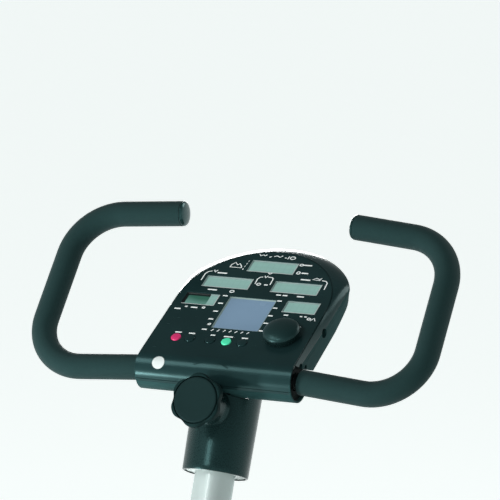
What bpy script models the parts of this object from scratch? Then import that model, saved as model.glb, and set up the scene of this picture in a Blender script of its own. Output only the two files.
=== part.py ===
"""Bicycle ergometer: a belt driven exercise bike with a tilting handlebar and console.

Metres. +X is the rider's right, +Y is forward, +Z is up. The origin is on the floor,
under the middle of the machine.
"""
import math

import bmesh
import bpy
from mathutils import Matrix, Vector

GAP = 0.0003                      # between faces that touch
RUNNING = 0.0006                  # between faces that slide or turn on each other

# Base
BASE_REACH = 0.480                # from the middle to each stabiliser's axis
STABILISER_HALF = 0.230           # half length of a stabiliser tube
STABILISER_RADIUS = 0.025
STABILISER_AXIS_HEIGHT = 0.040
TUBE_WALL = 0.0025
FOOT_LENGTH = 0.046
FOOT_DEPTH = 0.060
FOOT_HEIGHT = 0.070
FOOT_SOCKET = 0.028               # how far a stabiliser enters its foot
WHEEL_RADIUS = 0.0265
WHEEL_WIDTH = 0.020
WHEEL_STUB_RADIUS = 0.004
WHEEL_PLACE = (BASE_REACH + 0.0035, WHEEL_RADIUS + 0.0035)
SPINE_HEIGHT = 0.050
SPINE_BOTTOM = 0.020

# Frame and drive
TUBE_RADIUS = 0.025               # seat tube and handlebar post
TUBE_LEAN = math.radians(21.5)    # post leans forward, seat tube leans back
PLATE_THICKNESS = 0.005
BRACKET_HEIGHT = 0.330            # height of the crank axis
BRACKET_RADIUS = 0.022
BRACKET_WALL = 0.004
TUBE_TO_BRACKET = 0.003           # clear space between a tube and the bracket shell
TUBE_TAIL = 0.050                 # how far the tubes run below the crank axis
AXLE_RADIUS = 0.010
FLYWHEEL_RADIUS = 0.130
FLYWHEEL_WIDTH = 0.028
FLYWHEEL_OFFSET = (0.278, -0.075) # flywheel axis from the crank axis, forward and up
FLYWHEEL_SHAFT_RADIUS = 0.0085
BEARING_WALL = 0.007
BEARING_WIDTH = 0.010
PULLEY_RADIUS = 0.115
SMALL_PULLEY_RADIUS = 0.018
BELT_WIDTH = 0.012
BELT_THICKNESS = 0.003
BELT_CLEARANCE = 0.006            # from the right frame plate to the belt
CRANK_LENGTH = 0.170
CRANK_THICKNESS = 0.014
CRANK_CLEARANCE = 0.006           # from the housing to the crank arm
CRANK_REST = math.radians(28.0)
PEDAL_GAP = 0.008                 # from the crank arm to the pedal
PEDAL_WIDTH = 0.092
PEDAL_LENGTH = 0.100
PEDAL_THICKNESS = 0.022
PEDAL_SHAFT_RADIUS = 0.006
HOUSING_MARGIN = 0.022            # from the wheels inside to the housing's rim
HOUSING_WALL = 0.0025
HOUSING_SPACE = 0.007             # from the belt to the housing's side wall
HOUSING_FIT = 0.0006              # from the housing to the tubes and plates that pass through it
PLATE_DOOR = 0.090                # how far the plates' feet reach past the two axes
PLATE_CORNER = 0.0026             # from the plates' upper back corner to the housing's wall
PLATE_CORNER_TURN = math.radians(148.7)
INLET_SIZE = (0.028, 0.024)       # along Y and Z
SWITCH_SIZE = (0.028, 0.013)
INLET_HEIGHT = -0.052
SWITCH_HEIGHT = -0.022
SOCKET_AHEAD = 0.090
SOCKET_FLANGE = 0.002

# Saddle
SEAT_TUBE_LENGTH = 0.340          # above the crank axis
SEAT_POST_RADIUS = 0.019
SEAT_POST_START = 0.170           # lower end of the seat post, along the seat tube
SEAT_POST_LENGTH = 0.395
SADDLE_LENGTH = 0.272
SADDLE_WIDTH = 0.246
SADDLE_NOSE = 0.062
PAD_THICKNESS = 0.046
RAIL_RADIUS = 0.0035
BUSH_LENGTH = 0.090
SEAT_CLAMP_HEIGHT = SEAT_TUBE_LENGTH - 0.030
SEAT_SCREW_RADIUS = 0.005
LUG_HALF = 0.010
PIVOT_RADIUS = 0.004
CLAMP_RISE = 0.022                # from the pivot to the underside of the clamp's bridge
RAIL_HALF = 0.020
RAIL_DROP = 0.012                 # how far the rails run below the saddle base
SADDLE_BASE = 0.010
SADDLE_SHIFT = 0.012              # the saddle's middle, ahead of its clamp

# Handlebar and head
BAR_CENTRE = Vector((0.0, 0.262, 1.115))
BAR_RADIUS = 0.0111
BAR_WALL = 0.0018
BAR_PLANE = math.radians(51.0)    # slope of the plane of the handlebar loops
BAR_CLAMPED = 0.1075              # straight half of the crossbar
ARM_LENGTH = 0.0862
ARM_DROP = math.radians(4.9)
LOWER_BEND = 0.063
UPRIGHT_LENGTH = 0.0928
UPRIGHT_LEAN = math.radians(1.1)
UPPER_BEND = 0.0656
END_LENGTH = 0.0800
END_RISE = math.radians(5.2)
GRIP_RADIUS = 0.016
END_CAP_LENGTH = 0.006
POST_AHEAD = 0.0294               # from the crossbar's axis to the post's axis
COVER_TO_POST = 0.0016            # from the clamp cover to the end of the post's plug
SLEEVE_TOP = 0.004                # heights along the post, from the crossbar's foot on it
SLEEVE_BOTTOM = -0.1206
SLEEVE_RADIUS = 0.0428
SLEEVE_FOOT_RADIUS = 0.0412
SLEEVE_WALL = 0.003
KNOB_HEIGHT = -0.043
KNOB_FRONT = 0.091                # from the post's axis to the front of the knob
KNOB_RADIUS = 0.034
KNOB_LOBE = 0.003
KNOB_LOBES = 6
KNOB_DEPTH = 0.020
KNOB_CAP_RADIUS = 0.0296
BOSS_RADIUS = 0.021
SCREW_RADIUS = 0.005
PLUG_LIP = 0.002
BLOCK_LOOP = 0.0153               # outer radius of the loop round the crossbar
PLUG_LENGTH = 0.075
RING_RECESS = 0.0015
RING_LENGTH = 0.008
SCREW_TIP = -0.010                # end of the knob's screw, beyond the post's axis

# Console
FACE_SLOPE = math.radians(28.4)
COVER_RADIUS = 0.0264             # clamp cover; the face runs into it as a tangent
CONSOLE_HALF = 0.106
FACE_ARC = 0.104
FACE_ARC_CENTRE = 0.1094          # up the face from the crossbar
SHOULDER_ARC = 0.126
SHOULDER_HALF = 0.110
SHOULDER_DEPTH = 0.012
PARTING_DEPTH = 0.0165
BACK_DEPTH = 0.0438               # at the lower edge of the back
BACK_TAPER = 0.114                # how fast the back closes in on the face
CONSOLE_WALL = 0.0025
COVER_END = math.radians(178.6)   # where the front shell hands over to the under cover
UNDER_COVER_END = math.radians(352.0)
WALL_START = 0.0145               # lower end of the console's side walls
BACK_START = 0.0434               # lower end of the back's flat
NECK_HALF = 0.018
BUTTON_RADIUS = 0.0064
BUTTON_TRAVEL = 0.001
BUTTON_ROW = 0.032
BUTTON_PLACES = {"red": -0.0695, "left": -0.0503, "middle": -0.0227, "green": -0.0003, "right": 0.0212}
WINDOWS = (                       # centre across, centre up, width, height
    (0.0, 0.18375, 0.065, 0.0235),
    (-0.0475, 0.14655, 0.065, 0.0225),
    (0.0475, 0.14655, 0.065, 0.0225),
    (-0.0694, 0.1100, 0.046, 0.0232),
    (0.0694, 0.1100, 0.046, 0.0232),
    (0.0, 0.08855, 0.065, 0.0633),
)
DIAL_PLACE = (0.068, 0.0523)
DIAL_RADIUS = 0.024
DIAL_HEIGHT = 0.0165
DIAL_SHAFT_RADIUS = 0.003
BOARD_DEPTH = 0.012
BOARD_THICKNESS = 0.0016
BOARD_ARC = 0.094
BOARD_START = 0.024
WINDOW_DEPTH = 0.001              # the displays lie this far below the face

ROUND = 24                        # sides of a visible round piece
SMALL_ROUND = 12                  # sides of a small round piece

SIDES = (("left", -1), ("right", 1))
SIDE_VIEW = Matrix(((0, 0, 1, 0), (1, 0, 0, 0), (0, 1, 0, 0), (0, 0, 0, 1)))

for old in list(bpy.data.objects):
    bpy.data.objects.remove(old, do_unlink=True)

parts = bpy.data.collections.new("bicycle_ergometer")
cutters = bpy.data.collections.new("cutters")
for collection in (parts, cutters):
    bpy.context.scene.collection.children.link(collection)


def material(name, colour, roughness, metallic=0.0):
    finish = bpy.data.materials.new(name)
    finish.use_nodes = True
    shader = finish.node_tree.nodes["Principled BSDF"]
    shader.inputs["Base Color"].default_value = (*colour, 1.0)
    shader.inputs["Roughness"].default_value = roughness
    shader.inputs["Metallic"].default_value = metallic
    return finish


silver_paint = material("silver_paint", (0.70, 0.72, 0.72), 0.35, 0.6)
steel = material("steel", (0.56, 0.57, 0.58), 0.35, 1.0)
cast_iron = material("cast_iron", (0.25, 0.25, 0.26), 0.6, 0.8)
black_plastic = material("black_plastic", (0.035, 0.050, 0.050), 0.45)
panel_plastic = material("panel_plastic", (0.022, 0.034, 0.034), 0.40)
foam = material("foam", (0.040, 0.052, 0.052), 0.85)
rubber = material("rubber", (0.030, 0.032, 0.032), 0.8)
saddle_cover = material("saddle_cover", (0.040, 0.044, 0.045), 0.6)
light_plastic = material("light_plastic", (0.62, 0.65, 0.64), 0.5)
display = material("display", (0.45, 0.52, 0.47), 0.2)
board_green = material("board_green", (0.05, 0.22, 0.10), 0.5)
red_button = material("red_button", (0.72, 0.07, 0.20), 0.4)
green_button = material("green_button", (0.10, 0.72, 0.45), 0.4)
copper = material("copper", (0.60, 0.28, 0.14), 0.4, 1.0)


def add(name, data, place, finish):
    """Link mesh or curve data as a named part."""
    part = bpy.data.objects.new(name, data)
    parts.objects.link(part)
    part.matrix_world = place
    data.materials.append(finish)
    return part


def as_cutter(part):
    parts.objects.unlink(part)
    cutters.objects.link(part)
    part.name = "cut_" + part.name
    part.hide_render = True
    part.display_type = "WIRE"
    return part


def boolean(part, other, operation="DIFFERENCE"):
    """Cut or join a part with a shape that becomes a cutter."""
    as_cutter(other)
    change = part.modifiers.new(other.name, "BOOLEAN")
    change.object = other
    change.operation = operation


def turned(name, profile, place, finish, steps=ROUND, ring=False):
    """Turn (radius, height) points about local Z; they run down the outer side."""
    mesh = bpy.data.meshes.new(name)
    edges = [(i, i + 1) for i in range(len(profile) - 1)]
    if ring:
        edges.append((len(profile) - 1, 0))
    mesh.from_pydata([(radius, 0.0, height) for radius, height in profile], edges, [])
    part = add(name, mesh, place, finish)
    turn = part.modifiers.new("Turn", "SCREW")
    turn.steps = steps
    turn.render_steps = steps
    turn.use_merge_vertices = True
    turn.merge_threshold = 0.00001
    return part


def rod(name, radius, low, high, place, finish, steps=ROUND, chamfer=0.0, top=None):
    """A round bar along local Z, which tapers where its top has a radius of its own."""
    builder = bmesh.new()
    bmesh.ops.create_cone(
        builder, cap_ends=True, segments=steps, radius1=radius, radius2=top or radius,
        depth=high - low, matrix=Matrix.Translation((0, 0, (low + high) / 2)),
    )
    mesh = bpy.data.meshes.new(name)
    builder.to_mesh(mesh)
    builder.free()
    part = add(name, mesh, place, finish)
    if chamfer:
        round_edges(part, chamfer)
    return part


def ring(name, outer, inner, low, high, place, finish, steps=ROUND):
    """A round tube along local Z."""
    profile = [(outer, high), (outer, low), (inner, low), (inner, high)]
    return turned(name, profile, place, finish, steps, ring=True)


def block(name, size, place, finish, centre=(0, 0, 0), bevel=0.0):
    builder = bmesh.new()
    shape = Matrix.Translation(centre) @ Matrix.Diagonal((*size, 1.0))
    bmesh.ops.create_cube(builder, size=1.0, matrix=shape)
    mesh = bpy.data.meshes.new(name)
    builder.to_mesh(mesh)
    builder.free()
    part = add(name, mesh, place, finish)
    if bevel:
        round_edges(part, bevel)
    return part


def round_edges(part, width, segments=1, angle=40):
    bevel = part.modifiers.new("Edges", "BEVEL")
    bevel.width = width
    bevel.segments = segments
    bevel.limit_method = "ANGLE"
    bevel.angle_limit = math.radians(angle)


def plate(name, outline, thickness, place, finish, holes=()):
    """A flat outline, with holes, given thickness about its middle plane."""
    curve = bpy.data.curves.new(name, "CURVE")
    curve.dimensions = "2D"
    curve.fill_mode = "BOTH"
    curve.extrude = thickness / 2
    for loop in (outline, *holes):
        spline = curve.splines.new("POLY")
        spline.points.add(len(loop) - 1)
        for point, (x, y) in zip(spline.points, loop):
            point.co = (x, y, 0.0, 1.0)
        spline.use_cyclic_u = True
    return add(name, curve, place, finish)


def pipe(name, points, radius, place, finish, resolution=4, capped=True):
    curve = bpy.data.curves.new(name, "CURVE")
    curve.dimensions = "3D"
    curve.bevel_depth = radius
    curve.bevel_resolution = resolution
    curve.use_fill_caps = capped
    spline = curve.splines.new("POLY")
    spline.points.add(len(points) - 1)
    for point, position in zip(spline.points, points):
        point.co = (*position, 1.0)
    return add(name, curve, place, finish)


def as_mesh(part):
    """Turn a curve part into a mesh, so that it can be cut."""
    bpy.context.view_layer.update()
    evaluated = part.evaluated_get(bpy.context.evaluated_depsgraph_get())
    mesh = bpy.data.meshes.new_from_object(evaluated)
    builder = bmesh.new()
    builder.from_mesh(mesh)
    bmesh.ops.remove_doubles(builder, verts=builder.verts, dist=0.00001)
    builder.to_mesh(mesh)
    builder.free()
    name, place = part.name, part.matrix_world.copy()
    bpy.data.objects.remove(part, do_unlink=True)
    made = bpy.data.objects.new(name, mesh)
    parts.objects.link(made)
    made.matrix_world = place
    return made


def solidify(part, thickness):
    wall = part.modifiers.new("Wall", "SOLIDIFY")
    wall.thickness = thickness
    wall.offset = -1.0
    wall.solidify_mode = "NON_MANIFOLD"
    wall.nonmanifold_thickness_mode = "CONSTRAINTS"


def surface(name, rings, place, finish, cap_first=False, cap_last=False, closed=True):
    """A skin over rings of points that all have the same number of points."""
    count = len(rings[0])
    faces = []
    span = count if closed else count - 1
    for row in range(len(rings) - 1):
        for i in range(span):
            j = (i + 1) % count
            a, b = row * count, (row + 1) * count
            faces.append((a + i, a + j, b + j, b + i))
    if cap_first:
        faces.append(tuple(reversed(range(count))))
    if cap_last:
        start = (len(rings) - 1) * count
        faces.append(tuple(range(start, start + count)))
    mesh = bpy.data.meshes.new(name)
    mesh.from_pydata([point for line in rings for point in line], [], faces)
    builder = bmesh.new()
    builder.from_mesh(mesh)
    bmesh.ops.recalc_face_normals(builder, faces=builder.faces)
    builder.to_mesh(mesh)
    builder.free()
    return add(name, mesh, place, finish)


def circle(centre, radius, steps=SMALL_ROUND):
    turns = [2 * math.pi * i / steps for i in range(steps)]
    return [(centre[0] + radius * math.cos(t), centre[1] + radius * math.sin(t)) for t in turns]


def wrap(first, first_radius, second, second_radius, steps=12):
    """The outline of a belt round two circles, the second one ahead of the first."""
    run = Vector(second) - Vector(first)
    heading = math.atan2(run.y, run.x)
    spread = math.acos((first_radius - second_radius) / run.length)
    points = []
    for centre, radius, start, end in (
        (first, first_radius, heading + spread, heading + 2 * math.pi - spread),
        (second, second_radius, heading - spread, heading + spread),
    ):
        for i in range(steps + 1):
            turn = start + (end - start) * i / steps
            points.append((centre[0] + radius * math.cos(turn), centre[1] + radius * math.sin(turn)))
    return points


def place_at(origin, slope=0.0):
    """A frame turned about X, so that local Y climbs by slope."""
    return Matrix.Translation(origin) @ Matrix.Rotation(slope, 4, "X")


def side_at(x, y, z):
    """A frame whose local Z is world X, for wheels, plates and axles."""
    return Matrix.Translation((x, y, z)) @ SIDE_VIEW


def between(place):
    """The same frame turned a little about local Z, so a bore's corners miss those it cuts."""
    return place @ Matrix.Rotation(math.radians(3.5), 4, "Z")


def joint_at(name, place):
    """An empty on a joint's axis, which carries the pieces that move with it."""
    empty = bpy.data.objects.new(name, None)
    empty.matrix_world = place
    parts.objects.link(empty)
    return empty


def carry(empty, *moving):
    bpy.context.view_layer.update()
    for part in moving:
        part.parent = empty
        part.matrix_parent_inverse = empty.matrix_world.inverted()


# Places that several pieces share
POST_TOP = -(COVER_RADIUS + COVER_TO_POST)
PLATE_INSIDE = TUBE_RADIUS + GAP
PLATE_OUTSIDE = PLATE_INSIDE + PLATE_THICKNESS
BELT_MIDDLE = PLATE_OUTSIDE + BELT_CLEARANCE + BELT_WIDTH / 2
HOUSING_HALF = BELT_MIDDLE + BELT_WIDTH / 2 + HOUSING_SPACE + HOUSING_WALL
CRANK_MIDDLE = HOUSING_HALF + CRANK_CLEARANCE + CRANK_THICKNESS / 2

POST_FOOT = BAR_CENTRE + POST_AHEAD * Vector((0, math.cos(TUBE_LEAN), -math.sin(TUBE_LEAN)))
POST_FRAME = place_at(POST_FOOT, -TUBE_LEAN)
TUBE_OFFSET = TUBE_RADIUS + BRACKET_RADIUS + TUBE_TO_BRACKET
POST_REACH = (BRACKET_HEIGHT - POST_FOOT.z - TUBE_OFFSET * math.sin(TUBE_LEAN)) / math.cos(TUBE_LEAN)
BRACKET = Vector((
    0.0,
    POST_FOOT.y + POST_REACH * math.sin(TUBE_LEAN) - TUBE_OFFSET * math.cos(TUBE_LEAN),
    BRACKET_HEIGHT,
))
SEAT_FOOT = BRACKET - TUBE_OFFSET * Vector((0, math.cos(TUBE_LEAN), math.sin(TUBE_LEAN)))
SEAT_FRAME = place_at(SEAT_FOOT, TUBE_LEAN)
FLYWHEEL = BRACKET + Vector((0.0, *FLYWHEEL_OFFSET))
HOUSING_RIM = PULLEY_RADIUS + BELT_THICKNESS + HOUSING_MARGIN
SADDLE_PIVOT = SEAT_FRAME @ Vector((0, 0, SEAT_POST_START + SEAT_POST_LENGTH + 0.014))
BAR_FRAME = place_at(BAR_CENTRE, BAR_PLANE)
FACE_FRAME = place_at(BAR_CENTRE, FACE_SLOPE)
SPINE_MIDDLE = SPINE_BOTTOM + SPINE_HEIGHT / 2
BEARING_RADIUS = FLYWHEEL_SHAFT_RADIUS + GAP + BEARING_WALL


def base():
    spine_half = BASE_REACH - STABILISER_RADIUS - GAP
    outer = rectangle(2 * TUBE_RADIUS, SPINE_HEIGHT)
    inner = rectangle(2 * (TUBE_RADIUS - TUBE_WALL), SPINE_HEIGHT - 2 * TUBE_WALL)
    along = Matrix.Translation((0, 0, SPINE_MIDDLE)) @ Matrix.Rotation(math.radians(90), 4, "X")
    plate("base_spine", outer, 2 * spine_half, along, silver_paint, holes=[inner])
    for name, y in (("rear_stabiliser", -BASE_REACH), ("front_stabiliser", BASE_REACH)):
        place = side_at(0, y, STABILISER_AXIS_HEIGHT)
        inside = STABILISER_RADIUS - TUBE_WALL
        ring(name, STABILISER_RADIUS, inside, -STABILISER_HALF, STABILISER_HALF, place, silver_paint)
    for side_name, side in SIDES:
        foot("rear_foot_" + side_name, side, -1)
        foot("front_foot_" + side_name, side, 1)
        transport_wheel("transport_wheel_" + side_name, side)


def rectangle(width, height):
    x, y = width / 2, height / 2
    return [(-x, -y), (x, -y), (x, y), (-x, y)]


def foot_middle():
    return STABILISER_HALF - FOOT_SOCKET + FOOT_LENGTH / 2


def foot(name, side, end):
    """A moulded foot, with its outer lower corner cut back so the machine can be tipped."""
    half = FOOT_DEPTH / 2
    tip = 0.020
    outline = [
        (-half, 0.0), (half - tip, 0.0), (half, tip),
        (half, FOOT_HEIGHT - tip / 2), (half - tip / 2, FOOT_HEIGHT),
        (tip / 2 - half, FOOT_HEIGHT), (-half, FOOT_HEIGHT - tip / 2),
    ]
    outline = [(end * y, z) for y, z in outline]
    place = side_at(side * foot_middle(), end * BASE_REACH, 0)
    moulding = as_mesh(plate(name, outline, FOOT_LENGTH, place, rubber))
    socket_start = STABILISER_HALF - FOOT_SOCKET - 2 * GAP
    ends = sorted((side * socket_start, side * (STABILISER_HALF + GAP)))
    socket_place = side_at(0, end * BASE_REACH, STABILISER_AXIS_HEIGHT)
    radius = STABILISER_RADIUS + GAP
    boolean(moulding, rod(name + "_socket", radius, ends[0], ends[1], socket_place, rubber))
    if end > 0:
        start, stop = wheel_span()
        profile = [
            (0, stop + 0.005), (0.007, stop + 0.005), (0.007, stop + RUNNING),
            (WHEEL_STUB_RADIUS, stop + RUNNING), (WHEEL_STUB_RADIUS, start - 0.006),
            (0, start - 0.006),
        ]
        stub = turned("wheel_stub", handed(profile, side), side_at(0, *WHEEL_PLACE), rubber, SMALL_ROUND)
        boolean(moulding, stub, "UNION")


def handed(profile, side):
    """The same turned profile for the right side, or mirrored for the left."""
    if side > 0:
        return profile
    return [(radius, -height) for radius, height in reversed(profile)]


def wheel_span():
    start = foot_middle() + FOOT_LENGTH / 2 + RUNNING
    return start, start + WHEEL_WIDTH


def transport_wheel(name, side):
    middle = sum(wheel_span()) / 2
    half, edge = WHEEL_WIDTH / 2, 0.003
    bore = WHEEL_STUB_RADIUS + RUNNING
    rim = WHEEL_RADIUS
    profile = [
        (rim - edge, half), (rim, half - edge), (rim, edge - half), (rim - edge, -half),
        (bore, -half), (bore, half),
    ]
    place = side_at(side * middle, *WHEEL_PLACE)
    axis = joint_at(name + "_axis", place)
    carry(axis, turned(name, profile, place, rubber, ROUND, ring=True))


def frame_plates():
    """Two flat plates that carry the tubes, the crank and the flywheel on the spine."""
    bracket, wheel = (BRACKET.y, BRACKET.z), (FLYWHEEL.y, FLYWHEEL.z)
    foot_level = SPINE_BOTTOM + 0.006
    top = bracket[1] + 0.070
    front = wheel[0] + FLYWHEEL_RADIUS + 0.012
    shoulder = 0.034
    reach = HOUSING_RIM - HOUSING_WALL - PLATE_CORNER
    outline = [
        (bracket[0] - PLATE_DOOR, foot_level),
        (wheel[0] + PLATE_DOOR, foot_level),
        (wheel[0] + PLATE_DOOR, wheel[1] - 0.105),
        (front, wheel[1] - 0.030),
        (front, wheel[1] + 0.030),
        (front - 0.050, wheel[1] + 0.050),
        (wheel[0] - 0.120, top - 0.010),
        (POST_FOOT.y + (top - POST_FOOT.z) * math.tan(TUBE_LEAN) + shoulder, top),
        (bracket[0] + reach * math.cos(PLATE_CORNER_TURN), bracket[1] + reach * math.sin(PLATE_CORNER_TURN)),
        (bracket[0] - PLATE_DOOR + 0.005, bracket[1] - 0.080),
    ]
    bearing = BEARING_RADIUS + GAP
    holes = [
        circle(wheel, bearing, ROUND),
        circle((wheel[0] - 0.072, wheel[1] - 0.060), 0.030),
        circle((wheel[0] + 0.070, wheel[1] - 0.030), 0.026),
        circle((bracket[0] + 0.030, bracket[1] - 0.160), 0.034),
    ]
    frame = None
    for side in (-1, 1):
        place = side_at(side * (PLATE_INSIDE + PLATE_THICKNESS / 2), 0, 0)
        one = as_mesh(plate("frame_plates", outline, PLATE_THICKNESS, place, steel, holes))
        if frame:
            boolean(frame, one, "UNION")
        else:
            frame = one
    frame.name = "frame_plates"
    half = PLATE_OUTSIDE + 0.002
    boolean(frame, rod("bracket_shell", BRACKET_RADIUS, -half, half, side_at(*BRACKET), steel), "UNION")
    bore = BRACKET_RADIUS - BRACKET_WALL
    boolean(frame, rod("bracket_bore", bore, -half - 0.01, half + 0.01, side_at(*BRACKET), steel))


def bearings():
    """A cartridge in the bracket shell, and a ball race for each end of the flywheel's axle."""
    half = PLATE_OUTSIDE + 0.002
    outer = BRACKET_RADIUS - BRACKET_WALL - GAP
    ring("crank_bearing", outer, AXLE_RADIUS + GAP, -half, half, side_at(*BRACKET), steel)
    start = PLATE_INSIDE - 0.0025
    for name, side in SIDES:
        low, high = sorted((side * start, side * (start + BEARING_WIDTH)))
        bore = FLYWHEEL_SHAFT_RADIUS + GAP
        ring("flywheel_bearing_" + name, BEARING_RADIUS, bore, low, high, side_at(*FLYWHEEL), steel)


def crank():
    """Axle, arms and drive pulley; the right arm points forward and down."""
    axis = joint_at("crank_axis", side_at(*BRACKET))
    place = side_at(*BRACKET)
    reach = CRANK_MIDDLE + CRANK_THICKNESS / 2 + 0.002
    axle = rod("crank_axle", AXLE_RADIUS, -reach, reach, place, steel, ROUND, 0.001)
    carry(axis, axle)
    for name, side in SIDES:
        tip = Vector((side * CRANK_LENGTH * math.cos(CRANK_REST), -side * CRANK_LENGTH * math.sin(CRANK_REST)))
        outline = wrap((0, 0), 0.021, (tip.x, tip.y), 0.0145, 8)
        holes = [circle((0, 0), AXLE_RADIUS + GAP, ROUND), circle(tip, PEDAL_SHAFT_RADIUS + GAP)]
        spot = side_at(side * CRANK_MIDDLE, BRACKET.y, BRACKET.z)
        arm = plate("crank_arm_" + name, outline, CRANK_THICKNESS, spot, steel, holes)
        carry(axis, arm)
        carry(axis, pedal_shaft(name, side, tip))
        pedal(name, side, tip)
    rim = PULLEY_RADIUS
    web = BELT_WIDTH / 2 - 0.004
    half = BELT_WIDTH / 2
    bore = AXLE_RADIUS + GAP
    profile = [
        (rim, half), (rim, -half), (rim - 0.008, -half), (rim - 0.012, -web), (0.026, -web),
        (0.022, -half), (bore, -half), (bore, half), (0.022, half), (0.026, web),
        (rim - 0.012, web), (rim - 0.008, half),
    ]
    spot = side_at(BELT_MIDDLE, BRACKET.y, BRACKET.z)
    pulley = turned("drive_pulley", profile, spot, black_plastic, ROUND, ring=True)
    carry(axis, pulley)


def pedal_span(side):
    start = CRANK_MIDDLE + CRANK_THICKNESS / 2 + PEDAL_GAP
    return side * (start + PEDAL_WIDTH / 2)


def pedal_shaft(name, side, tip):
    inner = CRANK_MIDDLE - CRANK_THICKNESS / 2
    outer = CRANK_MIDDLE + CRANK_THICKNESS / 2
    end = abs(pedal_span(side)) + PEDAL_WIDTH / 2 - 0.008
    collar = PEDAL_SHAFT_RADIUS + 0.004
    profile = [
        (0, end), (PEDAL_SHAFT_RADIUS - 0.001, end), (PEDAL_SHAFT_RADIUS, end - 0.001),
        (PEDAL_SHAFT_RADIUS, outer + PEDAL_GAP - RUNNING), (collar, outer + PEDAL_GAP - RUNNING),
        (collar, outer + GAP), (PEDAL_SHAFT_RADIUS, outer + GAP), (PEDAL_SHAFT_RADIUS, inner),
        (0, inner),
    ]
    spot = side_at(0, BRACKET.y + tip.x, BRACKET.z + tip.y)
    return turned("pedal_axle_" + name, handed(profile, side), spot, steel, SMALL_ROUND)


def pedal(name, side, tip):
    """A flat pedal that hangs level, with its toe strap."""
    spot = side_at(pedal_span(side), BRACKET.y + tip.x, BRACKET.z + tip.y)
    axis = joint_at("pedal_axis_" + name, spot)
    size = (PEDAL_LENGTH, PEDAL_THICKNESS, PEDAL_WIDTH)
    body = block("pedal_" + name, size, spot, black_plastic, bevel=0.004)
    depth = PEDAL_WIDTH / 2 - 0.008 + RUNNING
    ends = sorted((side * (-PEDAL_WIDTH / 2 - 0.001), side * depth))
    radius = PEDAL_SHAFT_RADIUS + RUNNING
    boolean(body, rod("pedal_bore", radius, ends[0], ends[1], spot, steel, SMALL_ROUND))
    for end in (-1, 1):
        size = (0.026, PEDAL_THICKNESS + 0.002, PEDAL_WIDTH - 0.024)
        centre = (end * (PEDAL_LENGTH / 4 + 0.002), 0, 0)
        boolean(body, block("pedal_window", size, spot, steel, centre=centre))
    wall = 0.0025
    width = 0.026
    inner = PEDAL_THICKNESS / 2 + GAP
    half = PEDAL_WIDTH / 2 + GAP
    arch = 0.052
    rows = []
    for grow in (0.0, wall):
        row = [(-(half + grow), -inner - grow), (-(half + grow), inner + 0.012)]
        for i in range(1, 8):
            turn = math.pi * (1 - i / 8)
            row.append(((half + grow) * math.cos(turn), inner + 0.012 + (arch + grow) * math.sin(turn)))
        row += [(half + grow, inner + 0.012), (half + grow, -inner - grow)]
        rows.append(row)
    upright = spot @ Matrix.Translation((PEDAL_LENGTH / 2 - 0.024, 0, 0)) @ Matrix(
        ((0, 0, 1, 0), (0, 1, 0, 0), (-1, 0, 0, 0), (0, 0, 0, 1))
    )
    strap = plate("pedal_strap_" + name, rows[1], width, upright, rubber, holes=[rows[0]])
    carry(axis, body, strap)


def flywheel():
    axis = joint_at("flywheel_axis", side_at(*FLYWHEEL))
    place = side_at(*FLYWHEEL)
    half = FLYWHEEL_WIDTH / 2
    bore = FLYWHEEL_SHAFT_RADIUS + GAP
    rim = FLYWHEEL_RADIUS
    web = half - 0.008
    hub = BEARING_RADIUS + 0.006
    profile = [
        (rim - 0.002, half), (rim, half - 0.002), (rim, 0.002 - half), (rim - 0.002, -half),
        (rim - 0.030, -half), (rim - 0.036, -web), (hub + 0.006, -web), (hub, -half),
        (bore, -half), (bore, half), (hub, half), (hub + 0.006, web), (rim - 0.036, web),
        (rim - 0.030, half),
    ]
    wheel = turned("flywheel", profile, place, cast_iron, ROUND, ring=True)
    outer = BELT_MIDDLE + BELT_WIDTH / 2
    inner = BELT_MIDDLE - BELT_WIDTH / 2
    thin, thick = FLYWHEEL_SHAFT_RADIUS, SMALL_PULLEY_RADIUS
    profile = [
        (0, outer + 0.002), (thin, outer + 0.002), (thin, outer), (thick, outer), (thick, inner),
        (thin, inner), (thin, -PLATE_OUTSIDE - 0.004), (0, -PLATE_OUTSIDE - 0.004),
    ]
    shaft = turned("flywheel_axle", profile, place, steel)
    carry(axis, wheel, shaft)


def belt():
    first, second = (BRACKET.y, BRACKET.z), (FLYWHEEL.y, FLYWHEEL.z)
    inner = wrap(first, PULLEY_RADIUS + GAP, second, SMALL_PULLEY_RADIUS + GAP, 28)
    thick = BELT_THICKNESS + GAP
    outer = wrap(first, PULLEY_RADIUS + thick, second, SMALL_PULLEY_RADIUS + thick, 28)
    plate("drive_belt", outer, BELT_WIDTH, side_at(BELT_MIDDLE, 0, 0), rubber, holes=[inner])


def brake():
    """An electromagnet whose two poles reach over the flywheel's rim."""
    depth = 0.030
    edge = FLYWHEEL.y + FLYWHEEL_RADIUS
    slot = FLYWHEEL_WIDTH / 2 + 0.0025
    centre = Vector((0, edge + 0.0005, FLYWHEEL.z))
    place = Matrix.Translation(centre)
    half = TUBE_RADIUS
    outline = [
        (-half, depth / 2), (-half, -depth / 2), (-slot, -depth / 2), (-slot, 0.0),
        (slot, 0.0), (slot, -depth / 2), (half, -depth / 2), (half, depth / 2),
    ]
    plate("brake_coil", outline, 0.044, place, copper)


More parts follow.
